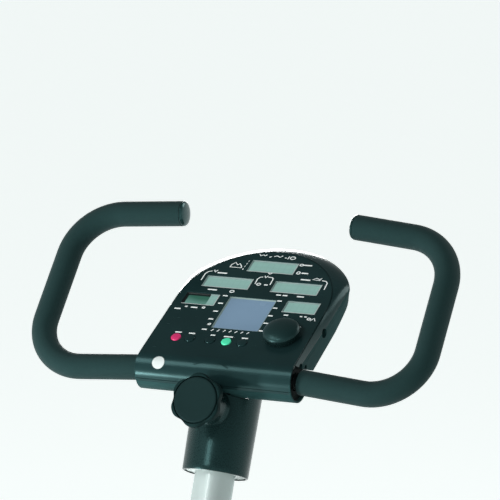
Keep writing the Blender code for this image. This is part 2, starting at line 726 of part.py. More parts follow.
def tubes():
    post_low = -(POST_FOOT - Vector(BRACKET)).dot(POST_FRAME.to_3x3() @ Vector((0, 0, 1)))
    inside = TUBE_RADIUS - TUBE_WALL
    ring(
        "handlebar_post", TUBE_RADIUS, inside, post_low - TUBE_TAIL, POST_TOP - PLUG_LIP,
        POST_FRAME, silver_paint,
    )
    tube = ring(
        "seat_tube", TUBE_RADIUS, inside, -TUBE_TAIL, SEAT_TUBE_LENGTH, SEAT_FRAME, silver_paint,
    )
    toward_back = SEAT_FRAME @ Matrix.Translation((0, 0, SEAT_CLAMP_HEIGHT))
    toward_back = toward_back @ Matrix.Rotation(math.radians(90), 4, "X")
    hole = rod(
        "seat_screw_hole", SEAT_SCREW_RADIUS + RUNNING, SEAT_POST_RADIUS - 0.004,
        TUBE_RADIUS + 0.003, toward_back, steel, SMALL_ROUND,
    )
    boolean(tube, hole)
    outer = TUBE_RADIUS - TUBE_WALL - GAP
    bush_low = SEAT_TUBE_LENGTH - BUSH_LENGTH
    lip = TUBE_RADIUS
    bore = SEAT_POST_RADIUS + RUNNING
    top = SEAT_TUBE_LENGTH + GAP
    profile = [
        (lip, top + 0.006), (lip, top), (outer, top), (outer, bush_low), (bore, bush_low),
        (bore, top + 0.006),
    ]
    bush = turned("seat_bush", profile, SEAT_FRAME, black_plastic, ROUND, ring=True)
    hole = rod(
        "bush_screw_hole", SEAT_SCREW_RADIUS + RUNNING, SEAT_POST_RADIUS - 0.004,
        TUBE_RADIUS + 0.003, toward_back, steel, SMALL_ROUND,
    )
    boolean(bush, hole)
    axis = joint_at("seat_knob_axis", toward_back)
    grip = TUBE_RADIUS + 0.004
    profile = [
        (0, grip + 0.030), (0.013, grip + 0.030), (0.018, grip + 0.026), (0.018, grip + 0.014),
        (0.011, grip + 0.006), (0.011, grip), (SEAT_SCREW_RADIUS, grip),
        (SEAT_SCREW_RADIUS, SEAT_POST_RADIUS + GAP), (0, SEAT_POST_RADIUS + GAP),
    ]
    knob = turned("seat_knob", profile, toward_back, black_plastic, SMALL_ROUND)
    carry(axis, knob)


def seat():
    """Seat post with a lug; the saddle and its clamp turn on the lug's bolt."""
    top = SEAT_POST_START + SEAT_POST_LENGTH
    post = rod(
        "seat_post", SEAT_POST_RADIUS, SEAT_POST_START, top, SEAT_FRAME, steel, ROUND, 0.001,
    )
    lug_height = 0.030
    centre = (0, 0, top + lug_height / 2 - 0.004)
    lug = block("seat_lug", (2 * LUG_HALF, 0.026, lug_height), SEAT_FRAME, steel, centre)
    boolean(post, lug, "UNION")
    across = side_at(*SADDLE_PIVOT)
    hole = rod("lug_hole", PIVOT_RADIUS + RUNNING, -0.02, 0.02, across, steel, SMALL_ROUND)
    boolean(post, hole)
    slide = joint_at("seat_height_axis", SEAT_FRAME)
    carry(slide, post)
    tilt = joint_at("saddle_axis", across)
    level = Matrix.Translation(SADDLE_PIVOT)
    cheek = 0.007
    reach = LUG_HALF + RUNNING
    clamp = block(
        "saddle_clamp", (2 * RAIL_HALF + 0.016, 0.036, 0.014), level, steel,
        centre=(0, 0, CLAMP_RISE + 0.007), bevel=0.002,
    )
    for side in (-1, 1):
        centre = (side * (reach + cheek / 2), 0, (CLAMP_RISE - 0.006) / 2)
        size = (cheek, 0.020, CLAMP_RISE + 0.010)
        boolean(clamp, block("clamp_cheek", size, level, steel, centre), "UNION")
    bolt = rod("clamp_bolt", PIVOT_RADIUS, -reach - 0.012, reach + 0.012, across, steel, SMALL_ROUND)
    boolean(clamp, bolt, "UNION")
    rail_height = CLAMP_RISE + 0.014 - RAIL_RADIUS
    for side in (-1, 1):
        groove = rod(
            "rail_groove", RAIL_RADIUS + GAP, -0.03, 0.03,
            level @ Matrix.Translation((side * RAIL_HALF, 0, rail_height))
            @ Matrix.Rotation(math.radians(90), 4, "X"), steel, 12,
        )
        boolean(clamp, groove)
    rails = rail_pair(level, rail_height)
    base_low = rail_height + RAIL_RADIUS + RAIL_DROP
    base = saddle_shell(level, base_low)
    pad = saddle_pad(level, base_low + SADDLE_BASE + GAP)
    carry(tilt, clamp, rails, base, pad)


def rail_pair(level, height):
    """One bent wire: two rails that join at the nose, and climb into the base at the back."""
    climb = height + RAIL_RADIUS + RAIL_DROP - GAP
    half = RAIL_HALF
    nose = climb - RAIL_RADIUS
    side = [
        (half, -0.090, climb), (half, -0.090, height + 0.008), (half, -0.080, height),
        (half, 0.056, height), (half * 0.95, 0.068, height + 0.004),
        (half * 0.75, 0.078, height + 0.009), (half * 0.35, 0.084, nose),
    ]
    points = side + [(-x, y, z) for x, y, z in reversed(side)]
    return pipe("saddle_rails", points, RAIL_RADIUS, level, steel, 2)


def saddle_half_width(t):
    """Half width of the saddle at t, 0 at the back and 1 at the nose."""
    back, nose = SADDLE_WIDTH / 2, SADDLE_NOSE / 2
    blend = 1 / (1 + math.exp(-(t - 0.52) * 11))
    return back * (1 - blend) + nose * blend


def saddle_rings(level_low, level_high, shrink, crown, stations, across):
    """Cross sections of the saddle: a flat underside and a crowned top."""
    rings = []
    for i in range(stations + 1):
        t = i / stations
        ends = math.sqrt(max(0.0, 1 - (2 * t - 1) ** 8))
        half = (saddle_half_width(t) - shrink) * (0.35 + 0.65 * ends)
        y = SADDLE_LENGTH * (t - 0.5) * (1 - 2 * shrink / SADDLE_LENGTH) + SADDLE_SHIFT
        kick = 0.010 * (1 - t) ** 3
        line = []
        for j in range(across + 1):
            u = 2 * j / across - 1
            rise = crown * (1 - abs(u) ** 2.6) * (0.55 + 0.45 * ends)
            line.append((half * u, y, level_high - crown + rise + kick))
        for j in range(across - 1, 0, -1):
            u = 2 * j / across - 1
            line.append((half * 0.94 * u, y, level_low))
        rings.append(line)
    return rings


def saddle_shell(level, low):
    rings = saddle_rings(low, low + SADDLE_BASE, 0.006, 0.0, 10, 6)
    for line in rings:
        for k, (x, y, z) in enumerate(line):
            line[k] = (x, y, low if z < low + 0.0001 else low + SADDLE_BASE)
    return surface("saddle_base", rings, level, black_plastic, cap_first=True, cap_last=True)


def saddle_pad(level, low):
    rings = saddle_rings(low, low + PAD_THICKNESS, 0.0, 0.026, 14, 12)
    pad = surface("saddle_pad", rings, level, saddle_cover, cap_first=True, cap_last=True)
    round_edges(pad, 0.003, 1, 55)
    return pad


def housing():
    """Two half shells that meet in the middle plane, with openings for what passes through."""
    first, second = (BRACKET.y, BRACKET.z), (FLYWHEEL.y, FLYWHEEL.z)
    big = HOUSING_RIM
    front = FLYWHEEL_RADIUS + HOUSING_MARGIN
    rim = wrap(first, big, second, front, 14)
    edge = 0.010
    small = wrap(first, big - edge, second, front - edge, 14)
    for name, side in (("housing_left", -1), ("housing_right", 1)):
        rings = [
            [(side * x, y, z) for y, z in line]
            for x, line in ((GAP / 2, rim), (HOUSING_HALF - edge, rim), (HOUSING_HALF, small))
        ]
        shell = surface(name, rings, Matrix.Identity(4), black_plastic, cap_last=True)
        solidify(shell, HOUSING_WALL)
        wall = side_at(side * HOUSING_HALF, BRACKET.y, BRACKET.z)
        boolean(shell, rod("crank_opening", AXLE_RADIUS + 0.004, -0.01, 0.01, wall, steel, ROUND))
        clearance = TUBE_RADIUS + HOUSING_FIT
        for label, spot in (("post", POST_FRAME), ("seat", SEAT_FRAME)):
            reach = spot.inverted() @ Vector(BRACKET)
            start = reach.z
            boolean(shell, rod(label + "_opening", clearance, start, start + 0.30, spot, steel, ROUND))
        low, high = SPINE_BOTTOM, BRACKET.z - 0.080
        back, front_end = BRACKET.y - PLATE_DOOR - 0.003, FLYWHEEL.y + PLATE_DOOR + 0.003
        size = (2 * (PLATE_OUTSIDE + HOUSING_FIT), front_end - back, high - low)
        centre = (0, (back + front_end) / 2, (low + high) / 2)
        boolean(shell, block("plate_opening", size, Matrix.Identity(4), steel, centre))
        if side < 0:
            for label, size, height in (
                ("inlet", INLET_SIZE, INLET_HEIGHT), ("switch", SWITCH_SIZE, SWITCH_HEIGHT),
            ):
                size = (0.02, size[0] + 2 * GAP, size[1] + 2 * GAP)
                spot = (-HOUSING_HALF, FLYWHEEL.y + SOCKET_AHEAD, FLYWHEEL.z + height)
                boolean(shell, block(label + "_cut", size, Matrix.Translation(spot), steel))
    sockets()


def sockets():
    """The mains inlet and its rocker switch, in the left wall."""
    wall = -HOUSING_HALF
    spot = Matrix.Translation((wall, FLYWHEEL.y + SOCKET_AHEAD, FLYWHEEL.z + INLET_HEIGHT))
    depth = 0.016
    inlet = block(
        "power_inlet", (depth, INLET_SIZE[0], INLET_SIZE[1]), spot, black_plastic,
        centre=(depth / 2 - GAP - SOCKET_FLANGE / 2, 0, 0),
    )
    flange = (SOCKET_FLANGE, INLET_SIZE[0] + 0.008, INLET_SIZE[1] + 0.004)
    boolean(inlet, block("inlet_flange", flange, spot, black_plastic,
                         centre=(-GAP - SOCKET_FLANGE / 2, 0, 0)), "UNION")
    recess = (0.012, INLET_SIZE[0] - 0.006, INLET_SIZE[1] - 0.006)
    boolean(inlet, block("inlet_recess", recess, spot, black_plastic, centre=(0.0015, 0, 0)))
    spot = Matrix.Translation((wall, FLYWHEEL.y + SOCKET_AHEAD, FLYWHEEL.z + SWITCH_HEIGHT))
    axis = joint_at("switch_axis", spot)
    inside = SWITCH_SIZE[1] / 2 - RUNNING
    width = SWITCH_SIZE[0] - 2 * RUNNING
    outline = [(-0.0035, inside), (0.0, 0.001), (-0.0012, -inside), (0.004, -inside), (0.004, inside)]
    facing = spot @ Matrix.Rotation(math.radians(90), 4, "X")
    carry(axis, plate("power_switch", outline, width, facing, red_button))


def bar_points():
    """The right half of the handlebar's centre line, in the plane of the loops."""
    position = Vector((0.0, 0.0, 0.0))
    heading = 0.0
    points = [position.copy()]
    steps = 5
    plan = (
        ("run", BAR_CLAMPED), ("turn", -ARM_DROP), ("run", ARM_LENGTH),
        ("bend", LOWER_BEND, math.pi / 2 + UPRIGHT_LEAN), ("run", UPRIGHT_LENGTH),
        ("bend", UPPER_BEND, math.pi - END_RISE), ("run", END_LENGTH),
    )
    for move in plan:
        if move[0] == "run":
            position = position + move[1] * Vector((math.cos(heading), math.sin(heading), 0))
            points.append(position.copy())
        elif move[0] == "turn":
            heading += move[1]
        else:
            radius, target = move[1], move[2]
            centre = position + radius * Vector((-math.sin(heading), math.cos(heading), 0))
            start = heading
            for i in range(1, steps + 1):
                heading = start + (target - start) * i / steps
                position = centre + radius * Vector((math.sin(heading), -math.cos(heading), 0))
                points.append(position.copy())
    return points


def handlebar(axis):
    """A bent tube in foam sleeves, with a cap on each end."""
    half = bar_points()
    grip_start = half[1] + Vector((GAP, 0, 0))
    mirrored = [Vector((-p.x, p.y, 0)) for p in reversed(half[1:])]
    tube = pipe("handlebar", mirrored + half[1:], BAR_RADIUS, BAR_FRAME, steel, 4, False)
    solidify(tube, BAR_WALL)
    carry(axis, tube)
    for name, side in SIDES:
        points = [Vector((side * p.x, p.y, 0)) for p in [grip_start] + half[2:]]
        grip = pipe("grip_" + name, points, GRIP_RADIUS, BAR_FRAME, foam, 4, False)
        solidify(grip, GRIP_RADIUS - BAR_RADIUS - 2 * GAP)
        carry(axis, grip)
    inner = BAR_RADIUS - BAR_WALL - 2 * GAP
    for name, side in SIDES:
        end = Vector((side * half[-1].x, half[-1].y, 0))
        before = Vector((side * half[-2].x, half[-2].y, 0))
        along = (end - before).normalized()
        spot = BAR_FRAME @ Matrix.Translation(end) @ along.to_track_quat("Z", "Y").to_matrix().to_4x4()
        length = END_CAP_LENGTH
        profile = [
            (0, length), (GRIP_RADIUS * 0.55, length * 0.9), (GRIP_RADIUS * 0.88, length * 0.6),
            (GRIP_RADIUS, length * 0.2), (GRIP_RADIUS, GAP), (inner, GAP), (inner, -0.015),
            (0, -0.015),
        ]
        carry(axis, turned("bar_end_" + name, profile, spot, black_plastic, SMALL_ROUND))


def knob_frame():
    """Local Z runs from the post's axis towards the rider, at the knob's height."""
    turn = Matrix.Rotation(math.radians(90), 4, "X")
    return POST_FRAME @ Matrix.Translation((0, 0, KNOB_HEIGHT)) @ turn


def head():
    """Sleeve, block and knob at the top of the post."""
    out = knob_frame()
    across = side_at(*BAR_CENTRE)
    sleeve = rod(
        "head_sleeve", SLEEVE_FOOT_RADIUS, SLEEVE_BOTTOM, SLEEVE_TOP, POST_FRAME, black_plastic,
        32, top=SLEEVE_RADIUS,
    )
    boss_end = KNOB_FRONT - KNOB_DEPTH - RUNNING
    boolean(sleeve, rod("sleeve_boss", BOSS_RADIUS, 0.010, boss_end, out, black_plastic), "UNION")
    core = rod(
        "sleeve_core", SLEEVE_FOOT_RADIUS - SLEEVE_WALL, SLEEVE_BOTTOM - 0.01, SLEEVE_TOP + 0.01,
        POST_FRAME, black_plastic, 32, top=SLEEVE_RADIUS - SLEEVE_WALL,
    )
    boolean(sleeve, core)
    screw_hole = rod(
        "screw_hole", SCREW_RADIUS + RUNNING, 0.02, 0.1, between(out), black_plastic, SMALL_ROUND,
    )
    boolean(sleeve, screw_hole)
    sweep = COVER_RADIUS + 0.0004
    saddle = rod("cover_sweep", sweep, -0.08, 0.08, between(across), black_plastic, 32)
    boolean(sleeve, saddle)

    collar_top = SLEEVE_BOTTOM + RING_RECESS + RING_LENGTH
    ring(
        "sleeve_ring", SLEEVE_FOOT_RADIUS - SLEEVE_WALL - GAP, TUBE_RADIUS + GAP,
        SLEEVE_BOTTOM + RING_RECESS, collar_top, POST_FRAME, light_plastic,
    )
    plug_top = POST_TOP - PLUG_LIP
    outer = TUBE_RADIUS - TUBE_WALL - GAP
    profile = [
        (0, plug_top + 0.008), (0.014, plug_top + 0.008), (0.014, plug_top - 0.001),
        (outer, plug_top - 0.001), (outer, plug_top - PLUG_LENGTH), (0, plug_top - PLUG_LENGTH),
    ]
    plug = turned("head_block", profile, POST_FRAME, cast_iron)
    low, high = plug_top + GAP, -0.006
    depth = 0.048
    neck = block(
        "neck", (2 * NECK_HALF, depth, high - low), POST_FRAME, cast_iron,
        centre=(0, depth / 2 - POST_AHEAD - 0.0013, (low + high) / 2),
    )
    boolean(plug, neck, "UNION")
    loop_half = NECK_HALF + 0.0017
    boolean(plug, rod("bar_loop", BLOCK_LOOP, -loop_half, loop_half, across, cast_iron), "UNION")
    bore = rod("bar_bore", BAR_RADIUS + RUNNING, -0.03, 0.03, between(across), cast_iron)
    boolean(plug, bore)
    thread = SCREW_RADIUS + RUNNING
    aside = between(out)
    boolean(plug, rod("screw_bore", thread, SCREW_TIP - GAP, 0.1, aside, cast_iron, SMALL_ROUND))
    wall_hole = rod("post_screw_hole", thread, 0.0, 0.1, aside, cast_iron, SMALL_ROUND)
    boolean(bpy.data.objects["handlebar_post"], wall_hole)

    axis = joint_at("knob_axis", out)
    start = KNOB_FRONT - KNOB_DEPTH
    knob_top = KNOB_FRONT - 0.003
    rings = []
    for height, scale in ((start, 0.94), (start + 0.002, 1.0), (knob_top - 0.005, 1.0), (knob_top, 0.93)):
        line = []
        for i in range(48):
            turn = 2 * math.pi * i / 48
            radius = KNOB_RADIUS - KNOB_LOBE * (0.5 - 0.5 * math.cos(KNOB_LOBES * turn))
            line.append((scale * radius * math.cos(turn), scale * radius * math.sin(turn), height))
        rings.append(line)
    knob = surface("clamp_knob", rings, out, black_plastic, cap_first=True, cap_last=True)
    shank = rod("knob_screw", SCREW_RADIUS, SCREW_TIP, start + 0.004, out, steel, SMALL_ROUND)
    boolean(knob, shank, "UNION")
    seat_depth = 0.004
    recess = rod(
        "cap_recess", KNOB_CAP_RADIUS + GAP, knob_top - seat_depth, knob_top + 0.01, out, steel, 32,
    )
    boolean(knob, recess)
    cap = rod(
        "knob_cap", KNOB_CAP_RADIUS, knob_top - seat_depth + GAP, KNOB_FRONT, out, black_plastic,
        32, 0.001,
    )
    carry(axis, knob, cap)


def face_outline(arc, bottom, low_half, arc_half, steps=14):
    """Right side, top arc and left side of the console, clipped to its width."""
    points = [(low_half, bottom)]
    for i in range(steps + 1):
        turn = math.pi * i / steps
        x = max(-arc_half, min(arc_half, arc * math.cos(turn)))
        points.append((x, FACE_ARC_CENTRE + arc * math.sin(turn)))
    points.append((-low_half, bottom))
    return points


def console(axis):
    top = COVER_RADIUS
    face = face_outline(FACE_ARC, 0.0, CONSOLE_HALF, FACE_ARC)
    shoulder = face_outline(SHOULDER_ARC, WALL_START * 0.7, CONSOLE_HALF, SHOULDER_HALF)
    rim = face_outline(SHOULDER_ARC, WALL_START, CONSOLE_HALF, SHOULDER_HALF)
    rings = [
        [(x, y, top) for x, y in face],
        [(x, y, top - SHOULDER_DEPTH) for x, y in shoulder],
        [(x, y, top - PARTING_DEPTH) for x, y in rim],
    ]
    front = surface("console_front", rings, FACE_FRAME, panel_plastic, cap_first=True, closed=False)
    add_cover(front.data, top)
    solidify(front, CONSOLE_WALL)
    for k, (x, y, width, height) in enumerate(WINDOWS):
        size = (width, height, 0.012)
        boolean(front, block("window_%d" % k, size, FACE_FRAME, display, (x, y, top)))
    for name, x in BUTTON_PLACES.items():
        spot = FACE_FRAME @ Matrix.Translation((x, BUTTON_ROW, 0))
        boolean(front, rod("button_hole_" + name, BUTTON_RADIUS + GAP, top - 0.006, top + 0.006,
                           spot, display, SMALL_ROUND))
    dial = FACE_FRAME @ Matrix.Translation((*DIAL_PLACE, 0))
    boolean(front, rod("shaft_hole", DIAL_SHAFT_RADIUS + RUNNING, top - 0.006, top + 0.006,
                       dial, display, SMALL_ROUND))

    low = top - BACK_DEPTH
    floor = face_outline(SHOULDER_ARC - 0.006, BACK_START, CONSOLE_HALF, SHOULDER_HALF)
    parting = top - PARTING_DEPTH - GAP
    spare = 0.004
    rings = [
        [(x, y, parting + spare) for x, y in rim],
        [(x, y, parting) for x, y in rim],
        [(x, y, low + BACK_TAPER * (y - BACK_START)) for x, y in floor],
    ]
    back = surface("console_back", rings, FACE_FRAME, black_plastic, cap_last=True)
    solidify(back, CONSOLE_WALL)
    size = (0.3, 0.5, 2 * spare)
    boolean(back, block("rim_trim", size, FACE_FRAME, black_plastic, (0, 0.1, parting + spare)))

    under = arc_shell(COVER_RADIUS - 0.0004, COVER_RADIUS - 0.0024, COVER_END + 0.012, UNDER_COVER_END)
    cover = plate("under_cover", under, 2 * CONSOLE_HALF, FACE_FRAME @ SIDE_VIEW, black_plastic)
    cover = as_mesh(cover)
    slot = sector(COVER_RADIUS + 0.0036, math.radians(197), math.radians(360))
    boolean(cover, plate_mesh("neck_slot", slot, 2 * NECK_HALF + 0.006, FACE_FRAME @ SIDE_VIEW))
    carry(axis, front, back, cover)
    board_parts(axis, top)


def plate_mesh(name, outline, thickness, place):
    return as_mesh(plate(name, outline, thickness, place, black_plastic))


def arc_shell(outer, inner, start, end, steps=18):
    turns = [start + (end - start) * i / steps for i in range(steps + 1)]
    loop = [(outer * math.cos(t), outer * math.sin(t)) for t in turns]
    loop += [(inner * math.cos(t), inner * math.sin(t)) for t in reversed(turns)]
    return loop


def sector(radius, start, end, steps=14):
    turns = [start + (end - start) * i / steps for i in range(steps + 1)]
    return [(0.0, 0.0)] + [(radius * math.cos(t), radius * math.sin(t)) for t in turns]


def add_cover(mesh, radius):
    """Carry the face on round the crossbar: quads from its lower edge, as a tangent arc."""
    builder = bmesh.new()
    builder.from_mesh(mesh)
    low = [v for v in builder.verts if abs(v.co.z - radius) < 0.00001 and abs(v.co.y) < 0.00001]
    previous = sorted(low, key=lambda v: v.co.x)
    steps = 9
    for i in range(1, steps + 1):
        turn = math.pi / 2 + (COVER_END - math.pi / 2) * i / steps
        y, z = radius * math.cos(turn), radius * math.sin(turn)
        row = [builder.verts.new((v.co.x, y, z)) for v in previous]
        builder.faces.new((previous[0], previous[1], row[1], row[0]))
        previous = row
    bmesh.ops.recalc_face_normals(builder, faces=builder.faces)
    face = max(builder.faces, key=lambda f: len(f.verts))
    if face.normal.z < 0:
        bmesh.ops.reverse_faces(builder, faces=builder.faces)
    builder.to_mesh(mesh)
    builder.free()


def board_parts(axis, top):
    """Displays on their circuit board, the dial and the buttons."""
    under = top - CONSOLE_WALL
    board_top = top - BOARD_DEPTH
    outline = face_outline(BOARD_ARC, BOARD_START, BOARD_ARC, BOARD_ARC)
    level = FACE_FRAME @ Matrix.Translation((0, 0, board_top - BOARD_THICKNESS / 2))
    board = as_mesh(plate("display_board", outline, BOARD_THICKNESS, level, board_green))
    for k, (x, y, width, height) in enumerate(WINDOWS):
        size = (width - 2 * GAP, height - 2 * GAP, BOARD_DEPTH - WINDOW_DEPTH + 0.0005)
        centre = (x, y, board_top - 0.0005 + size[2] / 2)
        boolean(board, block("display_%d" % k, size, FACE_FRAME, display, centre), "UNION")
    carry(axis, board)
    dial_frame = FACE_FRAME @ Matrix.Translation((*DIAL_PLACE, 0))
    turn_axis = joint_at("dial_axis", dial_frame)
    carry(axis, turn_axis)
    start, stop = top + RUNNING, top + DIAL_HEIGHT
    shaft = DIAL_SHAFT_RADIUS
    profile = [
        (0, stop), (DIAL_RADIUS * 0.45, stop - 0.0006), (DIAL_RADIUS * 0.70, stop - 0.0028),
        (DIAL_RADIUS * 0.80, stop - 0.0065), (DIAL_RADIUS * 0.84, start + 0.0045),
        (DIAL_RADIUS, start + 0.0030), (DIAL_RADIUS, start), (shaft, start),
        (shaft, under - GAP), (0.007, under - GAP), (0.007, board_top + GAP), (0, board_top + GAP),
    ]
    carry(turn_axis, turned("jog_dial", profile, dial_frame, black_plastic, ROUND))
    for name, x in BUTTON_PLACES.items():
        spot = FACE_FRAME @ Matrix.Translation((x, BUTTON_ROW, 0))
        press = joint_at("button_axis_" + name, spot)
        carry(axis, press)
        finish = {"red": red_button, "green": green_button}.get(name, panel_plastic)
        flange = BUTTON_RADIUS + 0.0012
        foot = board_top + BUTTON_TRAVEL + 2 * GAP
        profile = [
            (0, top + 0.0016), (BUTTON_RADIUS - 0.0008, top + 0.0014),
            (BUTTON_RADIUS, top + 0.0006), (BUTTON_RADIUS, under - GAP),
            (flange, under - GAP), (flange, under - 0.0016), (0.0025, under - 0.0016),
            (0.0025, foot), (0, foot),
        ]
        carry(press, turned("button_" + name, profile, spot, finish, SMALL_ROUND))


def smooth_shading():
    for part in parts.objects:
        if part.type == "MESH":
            part.data.shade_smooth()
            part.data.set_sharp_from_angle(angle=math.radians(35))


base()
tubes()
frame_plates()
bearings()
crank()
flywheel()
belt()
brake()
seat()
housing()
head_axis = joint_at("head_axis", place_at(BAR_CENTRE))
head()
handlebar(head_axis)
console(head_axis)
smooth_shading()
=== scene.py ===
from math import acos, atan, atan2, copysign, cos, degrees, exp, log, pi, radians, sin, sqrt, tau

import bmesh
import bpy
from mathutils import Matrix, Vector


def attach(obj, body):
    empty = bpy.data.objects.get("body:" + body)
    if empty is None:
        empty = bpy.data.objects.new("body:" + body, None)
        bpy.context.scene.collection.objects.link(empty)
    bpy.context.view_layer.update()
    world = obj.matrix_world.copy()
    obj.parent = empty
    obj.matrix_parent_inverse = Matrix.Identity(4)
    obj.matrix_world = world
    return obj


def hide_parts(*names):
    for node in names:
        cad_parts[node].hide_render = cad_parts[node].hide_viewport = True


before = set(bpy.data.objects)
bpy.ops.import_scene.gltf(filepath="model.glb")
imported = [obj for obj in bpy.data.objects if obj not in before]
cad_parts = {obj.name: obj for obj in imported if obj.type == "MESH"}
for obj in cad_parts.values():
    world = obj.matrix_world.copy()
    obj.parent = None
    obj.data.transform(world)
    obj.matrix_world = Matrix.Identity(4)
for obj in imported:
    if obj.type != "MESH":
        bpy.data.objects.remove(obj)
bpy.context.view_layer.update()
print("frame loaded:", len(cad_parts), "nodes")

# Places shared by several pieces, in metres. +X is the rider's right, +Y is forward.
barCentre = Vector((0.0, 0.262, 1.115))
bracket = Vector((0.0, -0.06936, 0.330))     # the crank's axis
wheelAxis = Vector((0.0, 0.20864, 0.255))    # the flywheel's axis
tubeLean = radians(21.5)
barSlope = radians(51.0)
faceSlope = radians(28.4)
faceTop = 0.0264                             # from the crossbar's axis to the console's face
coverHalf = 0.106
sides = (("Left", -1), ("Right", 1))
sideView = Matrix(((0, 0, 1, 0), (1, 0, 0, 0), (0, 1, 0, 0), (0, 0, 0, 1)))


def at(x, y, z=0.0):
    return Matrix.Translation((x, y, z))


def turned(angle, axis="X"):
    return Matrix.Rotation(angle, 4, axis)


def facing(side):    # half a turn for what points to the left
    return turned(0 if side > 0 else pi)


def aimed(direction):    # local Z points along the direction
    return Vector(direction).to_track_quat("Z", "Y").to_matrix().to_4x4()


def placeAt(origin, slope=0.0):
    return at(*origin) @ turned(slope)


def sideways(x, y, z):    # local Z points to the rider's right
    return at(x, y, z) @ sideView


postPlace = placeAt((0.0, 0.289354, 1.104225), -tubeLean)
seatPlace = placeAt((0.0, -0.115881, 0.311675), tubeLean)
barPlace = placeAt(barCentre, barSlope)
facePlace = placeAt(barCentre, faceSlope)
quarterTurn = turned(radians(90))
knobPlace = postPlace @ at(0, 0, -0.043) @ quarterTurn
seatKnobPlace = seatPlace @ at(0, 0, 0.310) @ quarterTurn
saddlePlace = at(0.0, -0.328085, 0.850387)


# Camera, light and floor

view = {"place": (2.359, -4.5685, 2.2098), "aim": (-0.42637, 0.88803, -0.17206), "lens": 320.4}
bpy.ops.object.select_all(action="DESELECT")
bpy.ops.object.camera_add(location=view["place"])
camera = bpy.context.object
camera.rotation_euler = Vector(view["aim"]).to_track_quat("-Z", "Y").to_euler()
camera.data.lens = view["lens"]
camera.data.sensor_width = 36.0
camera.data.clip_start = 0.1
camera.data.clip_end = 200.0
bpy.context.scene.camera = camera
bpy.context.scene.view_settings.view_transform = "Standard"

studio = {
    "horizon": (0.97, 1.0, 0.99), "zenith": (0.20, 0.235, 0.235), "rise": (0.03, 0.55), "skyStrength": 0.92,
    "floor": (0.86, 0.885, 0.875), "floorGlow": 0.76, "nearGlow": 0.30, "glowReach": (0.5, 4.5),
    "lamps": (                     # name, place, aim, size, watts
        ("sideLamp", (-1.15, -1.25, 0.48), (-0.05, 0.2, 1.10), 0.30, 36),
        ("frontLamp", (-0.45, -2.2, 2.50), (0.0, 0.2, 0.95), 0.6, 20),
        ("topLamp", (-1.7, -1.5, 3.20), (0.0, 0.1, 0.80), 1.3, 30),
        ("rimLamp", (-1.75, 3.30, 1.45), (0.0, 0.3, 1.15), 1.5, 85),
        ("backLamp", (1.5, 2.4, 2.60), (0.0, 0.1, 0.70), 1.5, 20),
    ),
}
world = bpy.data.worlds.new("softStudio")
world.use_nodes = True
bpy.context.scene.world = world
skyNodes, skyLinks = world.node_tree.nodes, world.node_tree.links
skyPlace = skyNodes.new("ShaderNodeTexCoord")
skySplit = skyNodes.new("ShaderNodeSeparateXYZ")
skyRise = skyNodes.new("ShaderNodeMapRange")
skyMix = skyNodes.new("ShaderNodeMix")
skyRise.interpolation_type = "SMOOTHSTEP"
skyRise.inputs[1].default_value, skyRise.inputs[2].default_value = studio["rise"]
skyMix.data_type = "RGBA"
skyMix.inputs[6].default_value = (*studio["horizon"], 1)
skyMix.inputs[7].default_value = (*studio["zenith"], 1)
skyLinks.new(skyPlace.outputs["Generated"], skySplit.inputs[0])
skyLinks.new(skySplit.outputs["Z"], skyRise.inputs[0])
skyLinks.new(skyRise.outputs[0], skyMix.inputs[0])
skyLinks.new(skyMix.outputs[2], skyNodes["Background"].inputs["Color"])
skyNodes["Background"].inputs["Strength"].default_value = studio["skyStrength"]
for lampName, lampPlace, lampAim, lampSize, watts in studio["lamps"]:
    bpy.ops.object.select_all(action="DESELECT")
    bpy.ops.object.light_add(type="AREA", location=lampPlace)
    lamp = bpy.context.object
    lamp.name = lampName
    lamp.rotation_euler = (Vector(lampAim) - Vector(lampPlace)).to_track_quat("-Z", "Y").to_euler()
    lamp.data.shape = "DISK"
    lamp.data.size = lampSize
    lamp.data.energy = watts
    lamp.visible_camera = False
print("camera and lamps placed")


# Shader building

def operator(operation, reflected=False):    # a method that adds one Math node
    def method(self, other):
        first, second = (other, self) if reflected else (self, other)
        return self.finish.wire("ShaderNodeMath", {"operation": operation}, {0: first, 1: second})
    return method


class Wire:    # a number on its way through the nodes, so that plain arithmetic adds Math nodes
    def __init__(self, finish, socket):
        self.finish = finish
        self.socket = socket

    __add__ = operator("ADD")
    __radd__ = operator("ADD", True)
    __sub__ = operator("SUBTRACT")
    __rsub__ = operator("SUBTRACT", True)
    __mul__ = operator("MULTIPLY")
    __rmul__ = operator("MULTIPLY", True)
    __truediv__ = operator("DIVIDE")
    __pow__ = operator("POWER")
    pingPong = operator("PINGPONG")

    def ramp(self, low, high):    # 0 below low, 1 above high, smooth between
        settings = {"interpolation_type": "SMOOTHSTEP"}
        return self.finish.wire("ShaderNodeMapRange", settings, {0: self, 1: low, 2: high})


